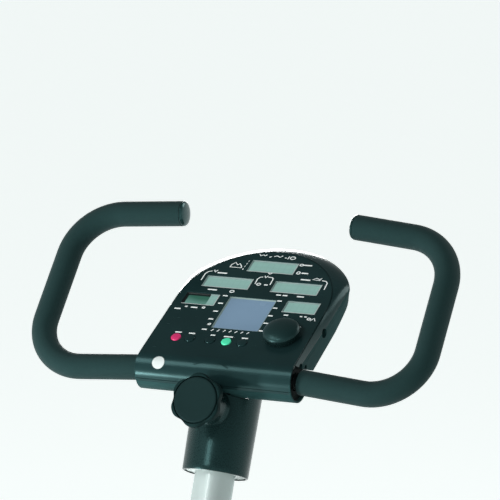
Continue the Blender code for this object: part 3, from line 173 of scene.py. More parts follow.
class Finish:
    def __init__(self, name, sockets):
        self.material = bpy.data.materials.new(name)
        self.material.use_nodes = True
        self.tree = self.material.node_tree
        self.tree.nodes.clear()
        self.shader = self.node("ShaderNodeBsdfPrincipled", {}, sockets)
        self.node("ShaderNodeOutputMaterial", {}, {0: self.shader.outputs[0]})
        self.place = self.node("ShaderNodeTexCoord").outputs["Object"]

    def node(self, kind, settings=None, inputs=None):
        made = self.tree.nodes.new(kind)
        for name, value in (settings or {}).items():
            setattr(made, name, value)
        for name, value in (inputs or {}).items():
            self.feed(made.inputs[name], value)
        return made

    def feed(self, socket, value):
        source = getattr(value, "socket", value)
        if isinstance(source, bpy.types.NodeSocket):
            self.tree.links.new(source, socket)
        else:
            socket.default_value = source

    def wire(self, kind, settings=None, inputs=None):
        return Wire(self, self.node(kind, settings, inputs).outputs[0])

    def put(self, name, value):
        self.feed(self.shader.inputs[name], value)

    def mapped(self, place=(0, 0, 0), turn=(0, 0, 0), scale=(1, 1, 1)):
        inputs = {0: self.place, "Location": place, "Rotation": turn, "Scale": scale}
        return self.node("ShaderNodeMapping", {"vector_type": "TEXTURE"}, inputs).outputs[0]

    def noise(self, scale, detail=2.0, place=None):
        inputs = {"Vector": place or self.place, "Scale": scale, "Detail": detail}
        return self.wire("ShaderNodeTexNoise", {}, inputs)

    def cells(self, scale, feature="F1"):
        return self.wire("ShaderNodeTexVoronoi", {"feature": feature}, {"Vector": self.place, "Scale": scale})

    def axes(self, place):
        split = self.node("ShaderNodeSeparateXYZ", {}, {0: place})
        return [Wire(self, split.outputs[i]) for i in range(3)]

    def blend(self, factor, first, second):
        inputs = {0: factor, 6: opaque(first), 7: opaque(second)}
        return self.node("ShaderNodeMix", {"data_type": "RGBA"}, inputs).outputs[2]

    def relief(self, height):    # height is in metres
        inputs = {"Strength": 1.0, "Distance": 1.0, "Height": height}
        self.put("Normal", self.node("ShaderNodeBump", {}, inputs).outputs[0])


def opaque(colour):
    return (*colour, 1.0) if isinstance(colour, tuple) and len(colour) == 3 else colour


def shade(colour, factor):
    return tuple(part * factor for part in colour)


moulded = {
    "tint": (0.0095, 0.0270, 0.0270), "panel": (0.0085, 0.0240, 0.0250), "foam": (0.0105, 0.0285, 0.0285),
    "shine": (0.45, 0.95, 0.95), "grain": 620.0, "grainDepth": 0.00005,
}


def mouldedPlastic(name, strength, roughness, grain, level, tint="tint"):    # strength scales the tint
    made = Finish(name, {"Specular IOR Level": level, "Specular Tint": opaque(moulded["shine"])})
    colour = shade(moulded[tint], strength)
    cloud = made.noise(14.0, 3.0)
    grainNoise = made.noise(moulded["grain"], 3.0)
    scuff = made.noise(60.0, 5.0, made.mapped(scale=(1.0, 0.12, 0.5))).ramp(0.60, 0.78)
    made.put("Base Color",
             made.blend(cloud.ramp(0.3, 0.7) * 0.6 + scuff * 0.25, shade(colour, 0.88), shade(colour, 1.22)))
    made.put("Roughness", roughness + (cloud - 0.5) * 0.10 + (grainNoise - 0.5) * 0.10 + scuff * 0.07)
    made.relief(grainNoise * (moulded["grainDepth"] * grain))
    return made.material


def foamFinish():
    made = Finish("foamSleeve", {"Specular IOR Level": 0.20, "Specular Tint": opaque(moulded["shine"]),
                                 "Sheen Weight": 0.06, "Sheen Roughness": 0.5})
    pores = made.cells(1150.0)
    lumps = made.noise(240.0, 4.0)
    cloud = made.noise(9.0, 2.0)
    colour = moulded["foam"]
    dark = made.blend(cloud, shade(colour, 0.90), shade(colour, 1.15))
    made.put("Base Color", made.blend(pores.ramp(0.15, 0.55) * 0.5, shade(colour, 0.80), dark))
    made.put("Roughness", 0.72 + lumps * 0.16)
    made.relief(pores * 0.00007 + lumps * 0.00012)
    return made.material


def silverFinish():
    made = Finish("silverPaint", {"Metallic": 0.35, "Coat Weight": 0.25, "Coat Roughness": 0.12,
                                  "Specular Tint": (0.85, 1.0, 1.0, 1.0)})
    flake = made.cells(2600.0)
    peel = made.noise(260.0, 2.0)
    cloud = made.noise(6.0, 2.0)
    base = made.blend(cloud, (0.32, 0.385, 0.375), (0.37, 0.430, 0.420))
    made.put("Base Color", made.blend(flake.ramp(0.1, 0.6) * 0.22, base, (0.52, 0.58, 0.57)))
    made.put("Roughness", 0.34 + flake * 0.12 + cloud * 0.06)
    made.relief(peel * 0.00002)
    return made.material


def steelFinish(name, colour, roughness):
    made = Finish(name, {"Metallic": 1.0})
    brushed = made.noise(30.0, 6.0, made.mapped(scale=(1.0, 1.0, 1 / 40.0)))
    cloud = made.noise(18.0, 2.0)
    made.put("Base Color", made.blend(cloud, shade(colour, 0.9), shade(colour, 1.08)))
    made.put("Roughness", roughness + (brushed - 0.5) * 0.16 + (cloud - 0.5) * 0.06)
    made.relief(brushed * 0.00001)
    return made.material


def ironFinish():
    made = Finish("castIron", {"Metallic": 0.75})
    sand = made.noise(420.0, 5.0)
    cloud = made.noise(22.0, 4.0)
    made.put("Base Color", made.blend(cloud, (0.10, 0.105, 0.11), (0.22, 0.22, 0.225)))
    made.put("Roughness", 0.52 + sand * 0.24)
    made.relief(sand * 0.00025)
    return made.material


def rubberFinish():
    made = Finish("footRubber", {"Specular IOR Level": 0.25})
    grain = made.noise(700.0, 4.0)
    dust = made.noise(26.0, 4.0).ramp(0.45, 0.75)
    made.put("Base Color", made.blend(dust * 0.5, (0.012, 0.016, 0.017), (0.034, 0.040, 0.040)))
    made.put("Roughness", 0.70 + grain * 0.18)
    made.relief(grain * 0.00006)
    return made.material


def vinylFinish():
    made = Finish("saddleVinyl", {"Specular IOR Level": 0.38, "Specular Tint": opaque(moulded["shine"])})
    creases = made.cells(420.0, "DISTANCE_TO_EDGE")
    pebble = made.cells(900.0)
    cloud = made.noise(16.0, 3.0)
    made.put("Base Color", made.blend(creases.ramp(0.0, 0.12), (0.007, 0.011, 0.012), (0.016, 0.026, 0.028)))
    made.put("Roughness", 0.46 + cloud * 0.16 - creases.ramp(0.0, 0.2) * 0.06)
    made.relief(creases.ramp(0.0, 0.22) * 0.00016 + pebble * -0.00005)
    return made.material


def plainFinish(name, colour, roughness, scale=500.0, depth=0.00003, level=0.5):
    made = Finish(name, {"Specular IOR Level": level})
    grain = made.noise(scale, 3.0)
    cloud = made.noise(40.0, 3.0)
    made.put("Base Color", made.blend(cloud, shade(colour, 0.92), shade(colour, 1.06)))
    made.put("Roughness", roughness + (grain - 0.5) * 0.12 + (cloud - 0.5) * 0.08)
    made.relief(grain * depth)
    return made.material


def displayFinish(name, colour, pitch, left=-0.0895, paintedLightLevel=1.0):    # the small left display carries a painted dark reflection, and painted shadow along its top and left; the last argument scales these painted colours
    made = Finish(name, {"Specular IOR Level": 0.30})
    across, up = made.axes(made.mapped(tuple(barCentre), (faceSlope, 0, 0)))[:2]
    cloud = made.noise(35.0, 2.0)
    columns = across.pingPong(pitch) / pitch
    rows = up.pingPong(pitch) / pitch
    dots = columns.ramp(0.1, 0.3) * rows.ramp(0.1, 0.3)
    # painted dark reflection over the small left display, darker towards its top and right
    paintedReflectionMask = (1 - across.ramp(-0.0600, -0.0588)) * up.ramp(0.094, 0.096) * (1 - up.ramp(0.124, 0.126))
    paintedReflectionFade = up.ramp(0.099, 0.119) + across.ramp(-0.092, -0.070) * 0.3
    paintedReflectionAndShadow = made.blend(paintedReflectionFade, shade((0.190, 0.400, 0.350), paintedLightLevel), shade((0.040, 0.150, 0.105), paintedLightLevel))
    # painted shadow, near black, along the small left display's top and left of the across position given by
    # left
    edge = up.ramp(0.1165, 0.1180) + (1 - across.ramp(left, left + 0.0015))
    paintedReflectionAndShadow = made.blend(edge, paintedReflectionAndShadow, shade((0.006, 0.014, 0.014), 0.5 + 0.5 * paintedLightLevel))
    base = made.blend(cloud * 0.6 + dots * 0.3, shade(colour, 0.93), shade(colour, 1.06))
    made.put("Base Color", made.blend(paintedReflectionMask, base, paintedReflectionAndShadow))
    made.put("Roughness", 0.20 + cloud * 0.10)
    made.relief(dots * 0.000004)
    return made.material


def coilFinish():
    made = Finish("copperWinding", {"Metallic": 1.0})
    turns = made.wire("ShaderNodeTexWave", {"bands_direction": "Z"}, {0: made.place, "Scale": 260.0})
    cloud = made.noise(30.0, 3.0)
    made.put("Base Color", made.blend(turns, (0.26, 0.10, 0.045), (0.62, 0.27, 0.13)))
    made.put("Roughness", 0.30 + cloud * 0.15)
    made.relief(turns * 0.0004)
    return made.material


finishes = {
    "foam": foamFinish(),
    "panel": mouldedPlastic("satinPanel", 1.0, 0.22, 0.12, 0.24, "panel"),
    "case": mouldedPlastic("grainedCase", 2.0, 0.54, 1.0, 0.03),
    "smooth": mouldedPlastic("smoothPlastic", 1.0, 0.30, 0.4, 0.30),
    "knob": mouldedPlastic("knobPlastic", 0.60, 0.55, 1.0, 0.06),
    "knobFace": mouldedPlastic("knobFace", 0.42, 0.55, 1.2, 0.12),
    "sleeve": mouldedPlastic("sleevePlastic", 0.5, 0.27, 0.15, 0.30),
    # near black: painted shade for the recessed cover ends
    "deep": mouldedPlastic("paintedShadePlastic", 0.10, 0.60, 0.6, 0.06),
    "dome": mouldedPlastic("domePlastic", 0.75, 0.36, 0.5, 0.35),
    "cap": mouldedPlastic("glossCap", 1.2, 0.16, 0.2, 0.60),
    "silver": silverFinish(),
    "steel": steelFinish("brushedSteel", (0.52, 0.54, 0.54), 0.30),
    "chrome": steelFinish("brightSteel", (0.66, 0.68, 0.68), 0.16),
    "iron": ironFinish(),
    "rubber": rubberFinish(),
    "vinyl": vinylFinish(),
    "lightPlastic": plainFinish("lightPlastic", (0.58, 0.64, 0.63), 0.48),
    # the last argument 0 makes the painted reflection and painted shadow black: painted shade over the small
    # left display's frame
    "bezel": displayFinish("displayBezel", (0.21, 0.29, 0.28), 0.004, -0.100, 0.0),
    "glass": displayFinish("greyGreenDisplay", (0.320, 0.540, 0.490), 0.004),
    "screen": displayFinish("dotScreen", (0.220, 0.335, 0.470), 0.0006),
    "board": plainFinish("boardLacquer", (0.02, 0.11, 0.05), 0.35),
    "red": plainFinish("redKey", (0.66, 0.028, 0.150), 0.42, 400.0, 0.00002, 0.4),
    "green": plainFinish("greenKey", (0.080, 0.80, 0.45), 0.42, 400.0, 0.00002, 0.4),
    "switch": plainFinish("switchRed", (0.55, 0.012, 0.020), 0.30, 400.0, 0.00001, 0.5),
    "ink": plainFinish("whiteInk", (0.92, 0.96, 0.95), 0.55, 900.0, 0.00001, 0.3),
    "label": plainFinish("whiteLabel", (0.54, 0.59, 0.58), 0.45, 300.0, 0.00001, 0.4),
    "copper": coilFinish(),
    "belt": rubberFinish(),
}
print("finishes made:", len(finishes))


def floorFinish():
    made = Finish("paleFloor",
                  {"Roughness": 0.9, "Specular IOR Level": 0.05, "Emission Strength": studio["floorGlow"]})
    cloud = made.noise(0.15, 1.0)
    across, along = made.axes(made.mapped((0, 0.1, 0)))[:2]
    distance = (across * across + along * along) ** 0.5
    floorColour = studio["floor"]
    made.put("Base Color", made.blend(cloud * 0.3, floorColour, shade(floorColour, 0.985)))
    near = distance.ramp(*studio["glowReach"])    # the glow stands in for light from a white room
    made.put("Emission Color", made.blend(near, shade(floorColour, studio["nearGlow"]), floorColour))
    return made.material


# Modelling helpers

def pick(*pieces):
    bpy.ops.object.select_all(action="DESELECT")
    for piece in pieces:
        piece.select_set(True)
    if pieces:
        bpy.context.view_layer.objects.active = pieces[0]


def edit():
    bpy.ops.object.mode_set(mode="EDIT")


def done():    # leave edit mode with a closed, outward facing mesh that has its place in it
    bpy.ops.mesh.select_mode(type="VERT")
    bpy.ops.mesh.select_all(action="SELECT")
    bpy.ops.mesh.remove_doubles(threshold=0.000001)
    bpy.ops.mesh.normals_make_consistent(inside=False)
    bpy.ops.object.mode_set(mode="OBJECT")
    bpy.ops.object.transform_apply(location=True, rotation=True, scale=True)
    return bpy.context.object


def choose(test, kind="FACE"):
    bpy.ops.mesh.select_mode(type=kind)
    bpy.ops.mesh.select_all(action="DESELECT")
    shape = bmesh.from_edit_mesh(bpy.context.object.data)
    for item in {"VERT": shape.verts, "EDGE": shape.edges, "FACE": shape.faces}[kind]:
        if test(item):
            item.select_set(True)
    shape.select_flush_mode()
    bmesh.update_edit_mesh(bpy.context.object.data)


def startRing(line, fill="NGON"):    # a mesh of one outline, open in edit mode
    pick()
    bpy.ops.mesh.primitive_circle_add(vertices=len(line), radius=1.0, fill_type=fill)
    edit()
    shape = bmesh.from_edit_mesh(bpy.context.object.data)
    shape.verts.ensure_lookup_table()
    for point, spot in zip(shape.verts, line):
        point.co = spot
    bmesh.update_edit_mesh(bpy.context.object.data)


def extendRing(before, after):    # extrude the selected outline on to the next one
    bpy.ops.mesh.extrude_region_move(TRANSFORM_OT_translate={"value": (0, 0, 0)})
    shape = bmesh.from_edit_mesh(bpy.context.object.data)
    for point in shape.verts:
        if point.select:
            nearest = min(range(len(before)), key=lambda i: (point.co - before[i]).length_squared)
            point.co = after[nearest]
    bmesh.update_edit_mesh(bpy.context.object.data)


def loft(rings, ring=False):    # a skin over outlines that have the same number of points
    rings = [[Vector(point) for point in line] for line in rings]
    startRing(rings[0], "NOTHING" if ring else "NGON")
    for before, after in zip(rings, rings[1:] + (rings[:1] if ring else [])):
        extendRing(before, after)
    return done()


def lathe(profile, sides=64, ring=False):    # (radius, height) points about local Z
    pick()
    radius, height = profile[0]
    bpy.ops.mesh.primitive_circle_add(
        vertices=sides, radius=radius, location=(0, 0, height), fill_type="NOTHING" if ring else "NGON")
    edit()
    for nextRadius, nextHeight in list(profile[1:]) + (list(profile[:1]) if ring else []):
        bpy.ops.mesh.extrude_region_move(TRANSFORM_OT_translate={"value": (0, 0, nextHeight - height)})
        ratio = nextRadius / radius
        if abs(ratio - 1) > 0.000001:
            bpy.ops.transform.resize(value=(ratio, ratio, 1), center_override=(0, 0, nextHeight))
        radius, height = nextRadius, nextHeight
    return done()


def block(size, centre=(0, 0, 0), edge=0.0, segments=3):
    pick()
    bpy.ops.mesh.primitive_cube_add(size=1.0, location=centre, scale=size)
    bpy.ops.object.transform_apply(location=True, rotation=True, scale=True)
    if edge:
        edit()
        bpy.ops.mesh.select_all(action="SELECT")
        bpy.ops.mesh.bevel(offset=edge, segments=segments, affect="EDGES")
        done()
    return bpy.context.object


def plate(outline, low, high, edge=0.0):    # a flat outline from one height to another
    made = loft([[(x, y, low) for x, y in outline], [(x, y, high) for x, y in outline]])
    if edge:
        edit()
        choose(lambda face: len(face.verts) == len(outline) and len(outline) != 4 or abs(face.normal.z) > 0.9)
        bpy.ops.mesh.region_to_loop()
        bpy.ops.mesh.bevel(offset=edge, segments=2, affect="EDGES")
        done()
    return made


def trace(lines, radius, smooth):    # round bars along paths, open in edit mode
    curve = bpy.data.curves.new("path", "CURVE")
    curve.dimensions = "3D"
    curve.bevel_depth = radius
    curve.bevel_resolution = smooth
    curve.use_fill_caps = True
    for line in lines:
        closed = len(line) > 2 and line[0] == line[-1]
        points = line[:-1] if closed else line
        spline = curve.splines.new("POLY")
        spline.points.add(len(points) - 1)
        spline.use_cyclic_u = closed
        for point, position in zip(spline.points, points):
            point.co = (*position, 1.0)
    made = bpy.data.objects.new("path", curve)
    bpy.context.scene.collection.objects.link(made)
    pick(made)
    bpy.ops.object.convert(target="MESH")
    edit()


def bar(points, radius, smooth):
    trace([points], radius, smooth)
    return done()


def modify(piece, kind, **settings):
    pick(piece)
    change = piece.modifiers.new(kind, kind)
    for name, value in settings.items():
        setattr(change, name, value)
    bpy.ops.object.modifier_apply(modifier=change.name)
    return piece


def cut(piece, tool, operation="DIFFERENCE"):
    modify(piece, "BOOLEAN", object=tool, operation=operation, solver="EXACT")
    bpy.data.objects.remove(tool, do_unlink=True)
    return piece


def pin(radius, low, high, sides=32):
    return lathe([(radius, low), (radius, high)], sides)


def soften(piece, width, segments=2, angle=40):
    return modify(piece, "BEVEL", width=width, segments=segments, limit_method="ANGLE",
                  angle_limit=radians(angle))


def put(piece, place):
    pick(piece)
    piece.matrix_world = place
    bpy.ops.object.transform_apply(location=True, rotation=True, scale=True)
    return piece


def fit(piece, name, finish, body, slot, *nodes, place=None, sharp=35):
    if place:
        put(piece, place)
    piece.name = name
    piece.data.name = name
    piece.data.materials.clear()
    piece.data.materials.append(finishes[finish])
    pick(piece)
    bpy.ops.object.shade_smooth_by_angle(angle=radians(sharp))
    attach(piece, body)
    if nodes:
        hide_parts(*nodes)
    return piece


def fitFace(piece, name, finish, slot, *nodes, sharp=35):    # a piece in the frame of the console's face
    return fit(piece, name, finish, "head", slot, *nodes, place=facePlace, sharp=sharp)


def arc(centre, radius, start, end, steps):
    turns = [radians(start + (end - start) * i / steps) for i in range(steps + 1)]
    return [(centre[0] + radius * cos(t), centre[1] + radius * sin(t)) for t in turns]


def roundedBox(width, height, radius, steps=5):
    points = []
    for x, y, start in ((1, 1, 0), (-1, 1, 90), (-1, -1, 180), (1, -1, 270)):
        corner = (x * (width / 2 - radius), y * (height / 2 - radius))
        points += arc(corner, radius, start, start + 90, steps)
    return points


def wrap(first, firstRadius, second, secondRadius, steps):    # an outline round two circles
    run = Vector(second) - Vector(first)
    heading = degrees(atan2(run.y, run.x))
    spread = degrees(acos((firstRadius - secondRadius) / run.length))
    return (arc(first, firstRadius, heading + spread, heading + 360 - spread, steps)
            + arc(second, secondRadius, heading - spread, heading + spread, steps))


pick()
bpy.ops.mesh.primitive_plane_add(size=140.0)
floor = bpy.context.object
floor.name = "studioFloor"
floor.data.materials.append(floorFinish())

# Grips and their end caps

handlebar = {
    "clamped": 0.1075, "armDrop": radians(4.9), "arm": 0.0862, "lowerBend": 0.063, "upright": 0.0928,
    "uprightLean": radians(1.1), "upperBend": 0.0656, "end": 0.0800, "endRise": radians(5.2),
    "gripRadius": 0.016, "gripStart": 0.0025, "foamEdge": 0.0018, "capLength": 0.006, "bendSteps": 22,
}


def barPath(side):
    heading = -handlebar["armDrop"]
    spot = Vector((handlebar["clamped"], 0, 0))
    points = [spot.copy()]
    plan = (
        (handlebar["arm"], handlebar["lowerBend"], pi / 2 + handlebar["uprightLean"]),
        (handlebar["upright"], handlebar["upperBend"], pi - handlebar["endRise"]),
        (handlebar["end"], None, None),
    )
    for run, bend, target in plan:
        spot = spot + run * Vector((cos(heading), sin(heading), 0))
        points.append(spot.copy())
        if bend:
            middle = spot + bend * Vector((-sin(heading), cos(heading), 0))
            start = heading
            for i in range(1, handlebar["bendSteps"] + 1):
                heading = start + (target - start) * i / handlebar["bendSteps"]
                spot = middle + bend * Vector((sin(heading), -cos(heading), 0))
                points.append(spot.copy())
    return [Vector((side * p.x, p.y, 0)) for p in points]


def grips():
    for name, side in sides:
        path = barPath(side)
        path[0] = path[0] + (path[1] - path[0]).normalized() * handlebar["gripStart"]
        path[-1] = path[-1] - (path[-1] - path[-2]).normalized() * 0.0002
        grip = bar(path, handlebar["gripRadius"], 16)
        pick(grip)
        edit()
        choose(lambda face: len(face.verts) > 8)
        bpy.ops.mesh.bevel(offset=handlebar["foamEdge"], segments=3, affect="EDGES")
        done()
        fit(grip, "grip" + name, "foam", "head", "foam", "grip_" + name.lower(), place=barPlace, sharp=50)
        end, before = barPath(side)[-1], barPath(side)[-2]
        spot = barPlace @ at(*end) @ aimed((end - before).normalized())
        radius, length = handlebar["gripRadius"], handlebar["capLength"]
        dome = [(radius * 0.90, 0.0004), (radius * 0.985, 0.0005), (radius, 0.0010), (radius * 0.99, 0.0016)]
        dome += [(radius * 0.94, 0.0018), (radius * 0.94, 0.0021)]
        dome += [(radius * 0.965 * cos(t), 0.0023 + (length - 0.0023) * sin(t))
                 for t in [radians(a) for a in (0, 10, 20, 30, 40, 50, 60, 70, 80, 87)]]
        cap = lathe(dome, 64)
        fit(cap, "barEnd" + name, "cap", "head", "black_plastic", "bar_end_" + name.lower(), place=spot,
            sharp=40)


grips()
print("grips made")


# Console: face, cover, back and under cover. Local X across, Y up the face, Z out of it.

console = {
    "faceArc": 0.104, "arcCentre": 0.1094, "shoulderArc": 0.126, "shoulderHalf": 0.110,
    "shoulderDepth": 0.012, "parting": 0.0165, "sideHalf": 0.104, "wallStart": 0.0145,
    "shoulderStart": 0.01015, "wall": 0.0025, "edge": 0.0012,
    "coverTurn": 88.6, "backDepth": 0.0438, "backTaper": 0.114, "backStart": 0.0434, "backRound": 0.006,
    "windows": (                   # middle across, middle up, width, height
        (0.0, 0.18375, 0.065, 0.0235), (-0.0475, 0.14655, 0.065, 0.0225), (0.0475, 0.14655, 0.065, 0.0225),
        (-0.0694, 0.1100, 0.046, 0.0232), (0.0694, 0.1100, 0.046, 0.0232), (0.0, 0.08855, 0.065, 0.0633),
    ),
    "windowChamfer": 0.0005, "bezel": 0.0016, "glassDepth": 0.0014, "paintedRimHighlight": 0.0008, "grooveIn": 0.0004,
    "grooveOut": 0.0008, "grooveDeep": 0.0015, "cornerBlend": 0.003, "seamTurn": 80.3,
    "notches": ((0.0128, 0.0130, 0.0046), (0.0240, 0.0040, 0.0031)), "keyRow": 0.032,
    "keys": {"red": -0.0695, "left": -0.0503, "middle": -0.0227, "green": -0.0003, "right": 0.0212},
    "keyRadius": 0.0064, "dial": (0.068, 0.0523),
    "jack": (0.0830, 0.0108, 0.0062, 0.0060),    # up the side, out, half widths
    "backScrews": ((-0.078, 0.062), (0.078, 0.062), (-0.070, 0.168), (0.070, 0.168), (0.0, 0.205)),
    "backSlots": (-0.030, -0.018, -0.006, 0.006, 0.018, 0.030), "slotMiddle": 0.178,
    "slotSize": (0.005, 0.030, 0.008), "hatch": (0.096, 0.060, 0.006), "hatchMiddle": 0.105,
    "hatchLine": 0.0008, "keyGap": 0.0003, "coverRibs": (222, 262, 302), "coverEnd": 0.1000,
}


def consoleLine(arcRadius, low, lowHalf, arcHalf, height, inset=0.0, sideSteps=6, arcSteps=48):
    line = []
    for i in range(sideSteps):
        t = i / sideSteps
        line.append((lowHalf + (arcHalf - lowHalf) * t, low + (console["arcCentre"] - low) * t))
    points = []
    for i in range(arcSteps + 1):
        turn = pi * i / arcSteps
        x = arcRadius * cos(turn)
        if arcRadius > arcHalf * 1.01:    # ease the corner where the arc meets the straight side
            blend = console["cornerBlend"]
            x = copysign(-blend * log(exp(-abs(x) / blend) + exp(-arcHalf / blend)), x)
        points.append((x, console["arcCentre"] + arcRadius * sin(turn)))
    whole = line + points + [(-x, y) for x, y in reversed(line)]
    return [Vector((x * (1 - inset / 0.1), y if y < 0.0001 else y - inset * max(0, y - 0.1) / 0.1, height))
            for x, y in whole]


def cutNotches(piece):    # round notches beside the crossbar, through both sides
    for y, z, radius in console["notches"]:
        cut(piece, put(pin(radius, -0.13, 0.13, 24), sideways(0, y, z)))


def jackTool():
    up, out, halfUp, halfOut = console["jack"]
    return loft([[(x, up + halfUp * sin(t), out + halfOut * cos(t))
                  for t in [tau * i / 32 for i in range(32)]] for x in (0.1015, 0.114)])


def consoleFront():
    top = faceTop
    face = (console["faceArc"], 0.0, coverHalf, console["sideHalf"])
    rows = [consoleLine(*face, top, console["edge"]), consoleLine(*face, top)]
    steps = 7
    for i in range(1, steps + 1):
        t = i / steps
        turn = t * pi / 2
        out = 0.72 * t + 0.28 * sin(turn)
        down = 0.72 * t + 0.28 * (1 - cos(turn))
        rows.append(consoleLine(
            console["faceArc"] + out * (console["shoulderArc"] - console["faceArc"]),
            console["shoulderStart"] * down, coverHalf,
            console["sideHalf"] + out * (console["shoulderHalf"] - console["sideHalf"]),
            top - console["shoulderDepth"] * down))
    rows.append(consoleLine(console["shoulderArc"], console["wallStart"], coverHalf, console["shoulderHalf"],
                            top - console["parting"]))
    startRing(rows[0])
    choose(lambda edge: not all(abs(point.co.y) < 0.00001 for point in edge.verts), "EDGE")
    for before, after in zip(rows, rows[1:]):
        extendRing(before, after)
    choose(lambda edge: all(abs(point.co.y) < 0.00001 and abs(point.co.z - top) < 0.00001
                            for point in edge.verts), "EDGE")
    bpy.ops.mesh.spin(steps=18, angle=radians(console["coverTurn"]), center=(0, 0, 0), axis=(-1, 0, 0))
    front = done()
    if max(front.data.polygons, key=lambda face: face.area).normal.z < 0:
        edit()
        bpy.ops.mesh.select_all(action="SELECT")
        bpy.ops.mesh.flip_normals()
        bpy.ops.object.mode_set(mode="OBJECT")
    modify(front, "SOLIDIFY", thickness=console["wall"], offset=-1.0, use_even_offset=True)
    for x, y, width, height in console["windows"]:
        cut(front, windowTool(x, y, width, height))
    trench = []
    inner, outer, deep = console["grooveIn"], -console["grooveOut"], -console["grooveDeep"]
    for inset, low, height in ((inner, -0.010, deep), (inner, -0.010, 0.001), (outer, -0.012, 0.001),
                               (outer, -0.012, deep)):
        line = consoleLine(*face, top + height, inset)
        line[0].y = line[-1].y = low
        trench.append(line)
    cut(front, loft(trench, ring=True))    # the joint line round the face
    seam = radians(console["seamTurn"])
    spot = at(0, -faceTop * sin(seam), faceTop * cos(seam)) @ turned(seam)
    cut(front, put(block((0.240, 0.0009, 0.0018)), spot))
    cut(front, jackTool())
    cutNotches(front)
    bore = console["keyRadius"] + console["keyGap"]
    for x in console["keys"].values():
        hole = lathe([(bore, top - 0.006), (bore, top - 0.0004), (bore + 0.0006, top + 0.0002)], 48)
        cut(front, put(hole, at(x, console["keyRow"])))
    cut(front, put(pin(0.0036, top - 0.006, top + 0.001, 24), at(*console["dial"])))
    fitFace(front, "consoleFront", "panel", "panel_plastic", "console_front", sharp=28)
    front.data.materials.append(finishes["case"])
    for face in front.data.polygons:    # the side walls are grained
        spot = facePlace.inverted() @ face.center
        if abs(spot.x) > console["sideHalf"] + 0.0005 and spot.z < top - console["shoulderDepth"] - 0.0001:
            face.material_index = 1


def windowTool(x, y, width, height):
    chamfer = console["windowChamfer"]
    pick()
    bpy.ops.mesh.primitive_cube_add(
        size=1.0, location=(x, y, faceTop - 0.004 - chamfer / 2), scale=(width, height, 0.008 - chamfer))
    bpy.ops.object.transform_apply(location=True, rotation=True, scale=True)
    edit()
    choose(lambda face: face.normal.z > 0.9)
    bpy.ops.mesh.extrude_region_move(TRANSFORM_OT_translate={"value": (0, 0, chamfer * 1.4)})
    grow = 2 * chamfer * 1.4
    bpy.ops.transform.resize(value=(1 + grow / width, 1 + grow / height, 1), center_override=(x, y, faceTop))
    return done()


consoleFront()
print("console front made")


def mixLines(first, second, t):
    return [a.lerp(b, t) for a, b in zip(first, second)]


def consoleBack():
    start = faceTop - console["parting"] - 0.00008
    rim = consoleLine(console["shoulderArc"], console["wallStart"], coverHalf, console["shoulderHalf"], start)
    floorLine = consoleLine(console["shoulderArc"] - 0.006, console["backStart"], coverHalf,
                            console["shoulderHalf"], 0.0)
    low = faceTop - console["backDepth"]

    def level(up):    # where the sloping back lies
        return low + console["backTaper"] * (up - console["backStart"])

    for point in floorLine:
        point.z = level(point.y)
    middle = Vector((0.0, console["arcCentre"], low))
    inner = []
    for point in floorLine:
        drawn = point.lerp(middle, console["backRound"] / (point - middle).length)
        drawn.z = point.z
        inner.append(drawn)

    def inset(line, amount, height):
        moved = [point.lerp(Vector((0.0, 0.09, point.z)), amount / 0.11) for point in line]
        return [Vector((point.x, point.y, height)) for point in moved]

    rings = [inset(rim, 0.0004, start), inset(rim, 0.0, start - 0.0004)]
    rings.append(mixLines(rings[1], floorLine, 0.45))
    shoulder = mixLines(rings[1], floorLine, 0.78)
    for t in [i / 6 for i in range(7)]:
        rings.append([a * (1 - t) ** 2 + b * (2 * t * (1 - t)) + c * t ** 2
                      for a, b, c in zip(shoulder, floorLine, inner)])
    back = loft(rings)
    cut(back, jackTool())
    cutNotches(back)
    for x, y in console["backScrews"]:
        cut(back, put(pin(0.0042, level(y) - 0.004, level(y) + 0.003), at(x, y)))
    up = console["slotMiddle"]
    for x in console["backSlots"]:
        cut(back, block(console["slotSize"], (x, up, level(up)), 0.0012))
    (wide, high, corner), line, up = console["hatch"], console["hatchLine"], console["hatchMiddle"]
    hatch = plate(roundedBox(wide, high, corner), -0.006, 0.0012)
    cut(hatch, plate(roundedBox(wide - 2 * line, high - 2 * line, corner - line), -0.01, 0.01))
    cut(back, put(hatch, placeAt((0, up, level(up)), atan(console["backTaper"]))))
    fitFace(back, "consoleBack", "case", "black_plastic", "console_back", sharp=30)
    for k, (x, y) in enumerate(console["backScrews"]):
        screw = put(screwHead(0.0036, 0.0020), at(x, y, level(y) + 0.0029) @ turned(pi))
        fitFace(screw, "consoleScrew%d" % (k + 1), "steel", "steel")


def screwHead(radius, height):    # a domed head with a cross recess, its top at local height
    head = lathe([(radius, 0.0), (radius, height * 0.45), (radius * 0.86, height * 0.85),
                  (radius * 0.5, height), (radius * 0.1, height)], 32)
    for turn in (0, 90):
        slot = block((radius * 1.2, radius * 0.24, height), (0, 0, height * 1.05))
        cut(head, put(slot, turned(radians(turn), "Z")))
    return head


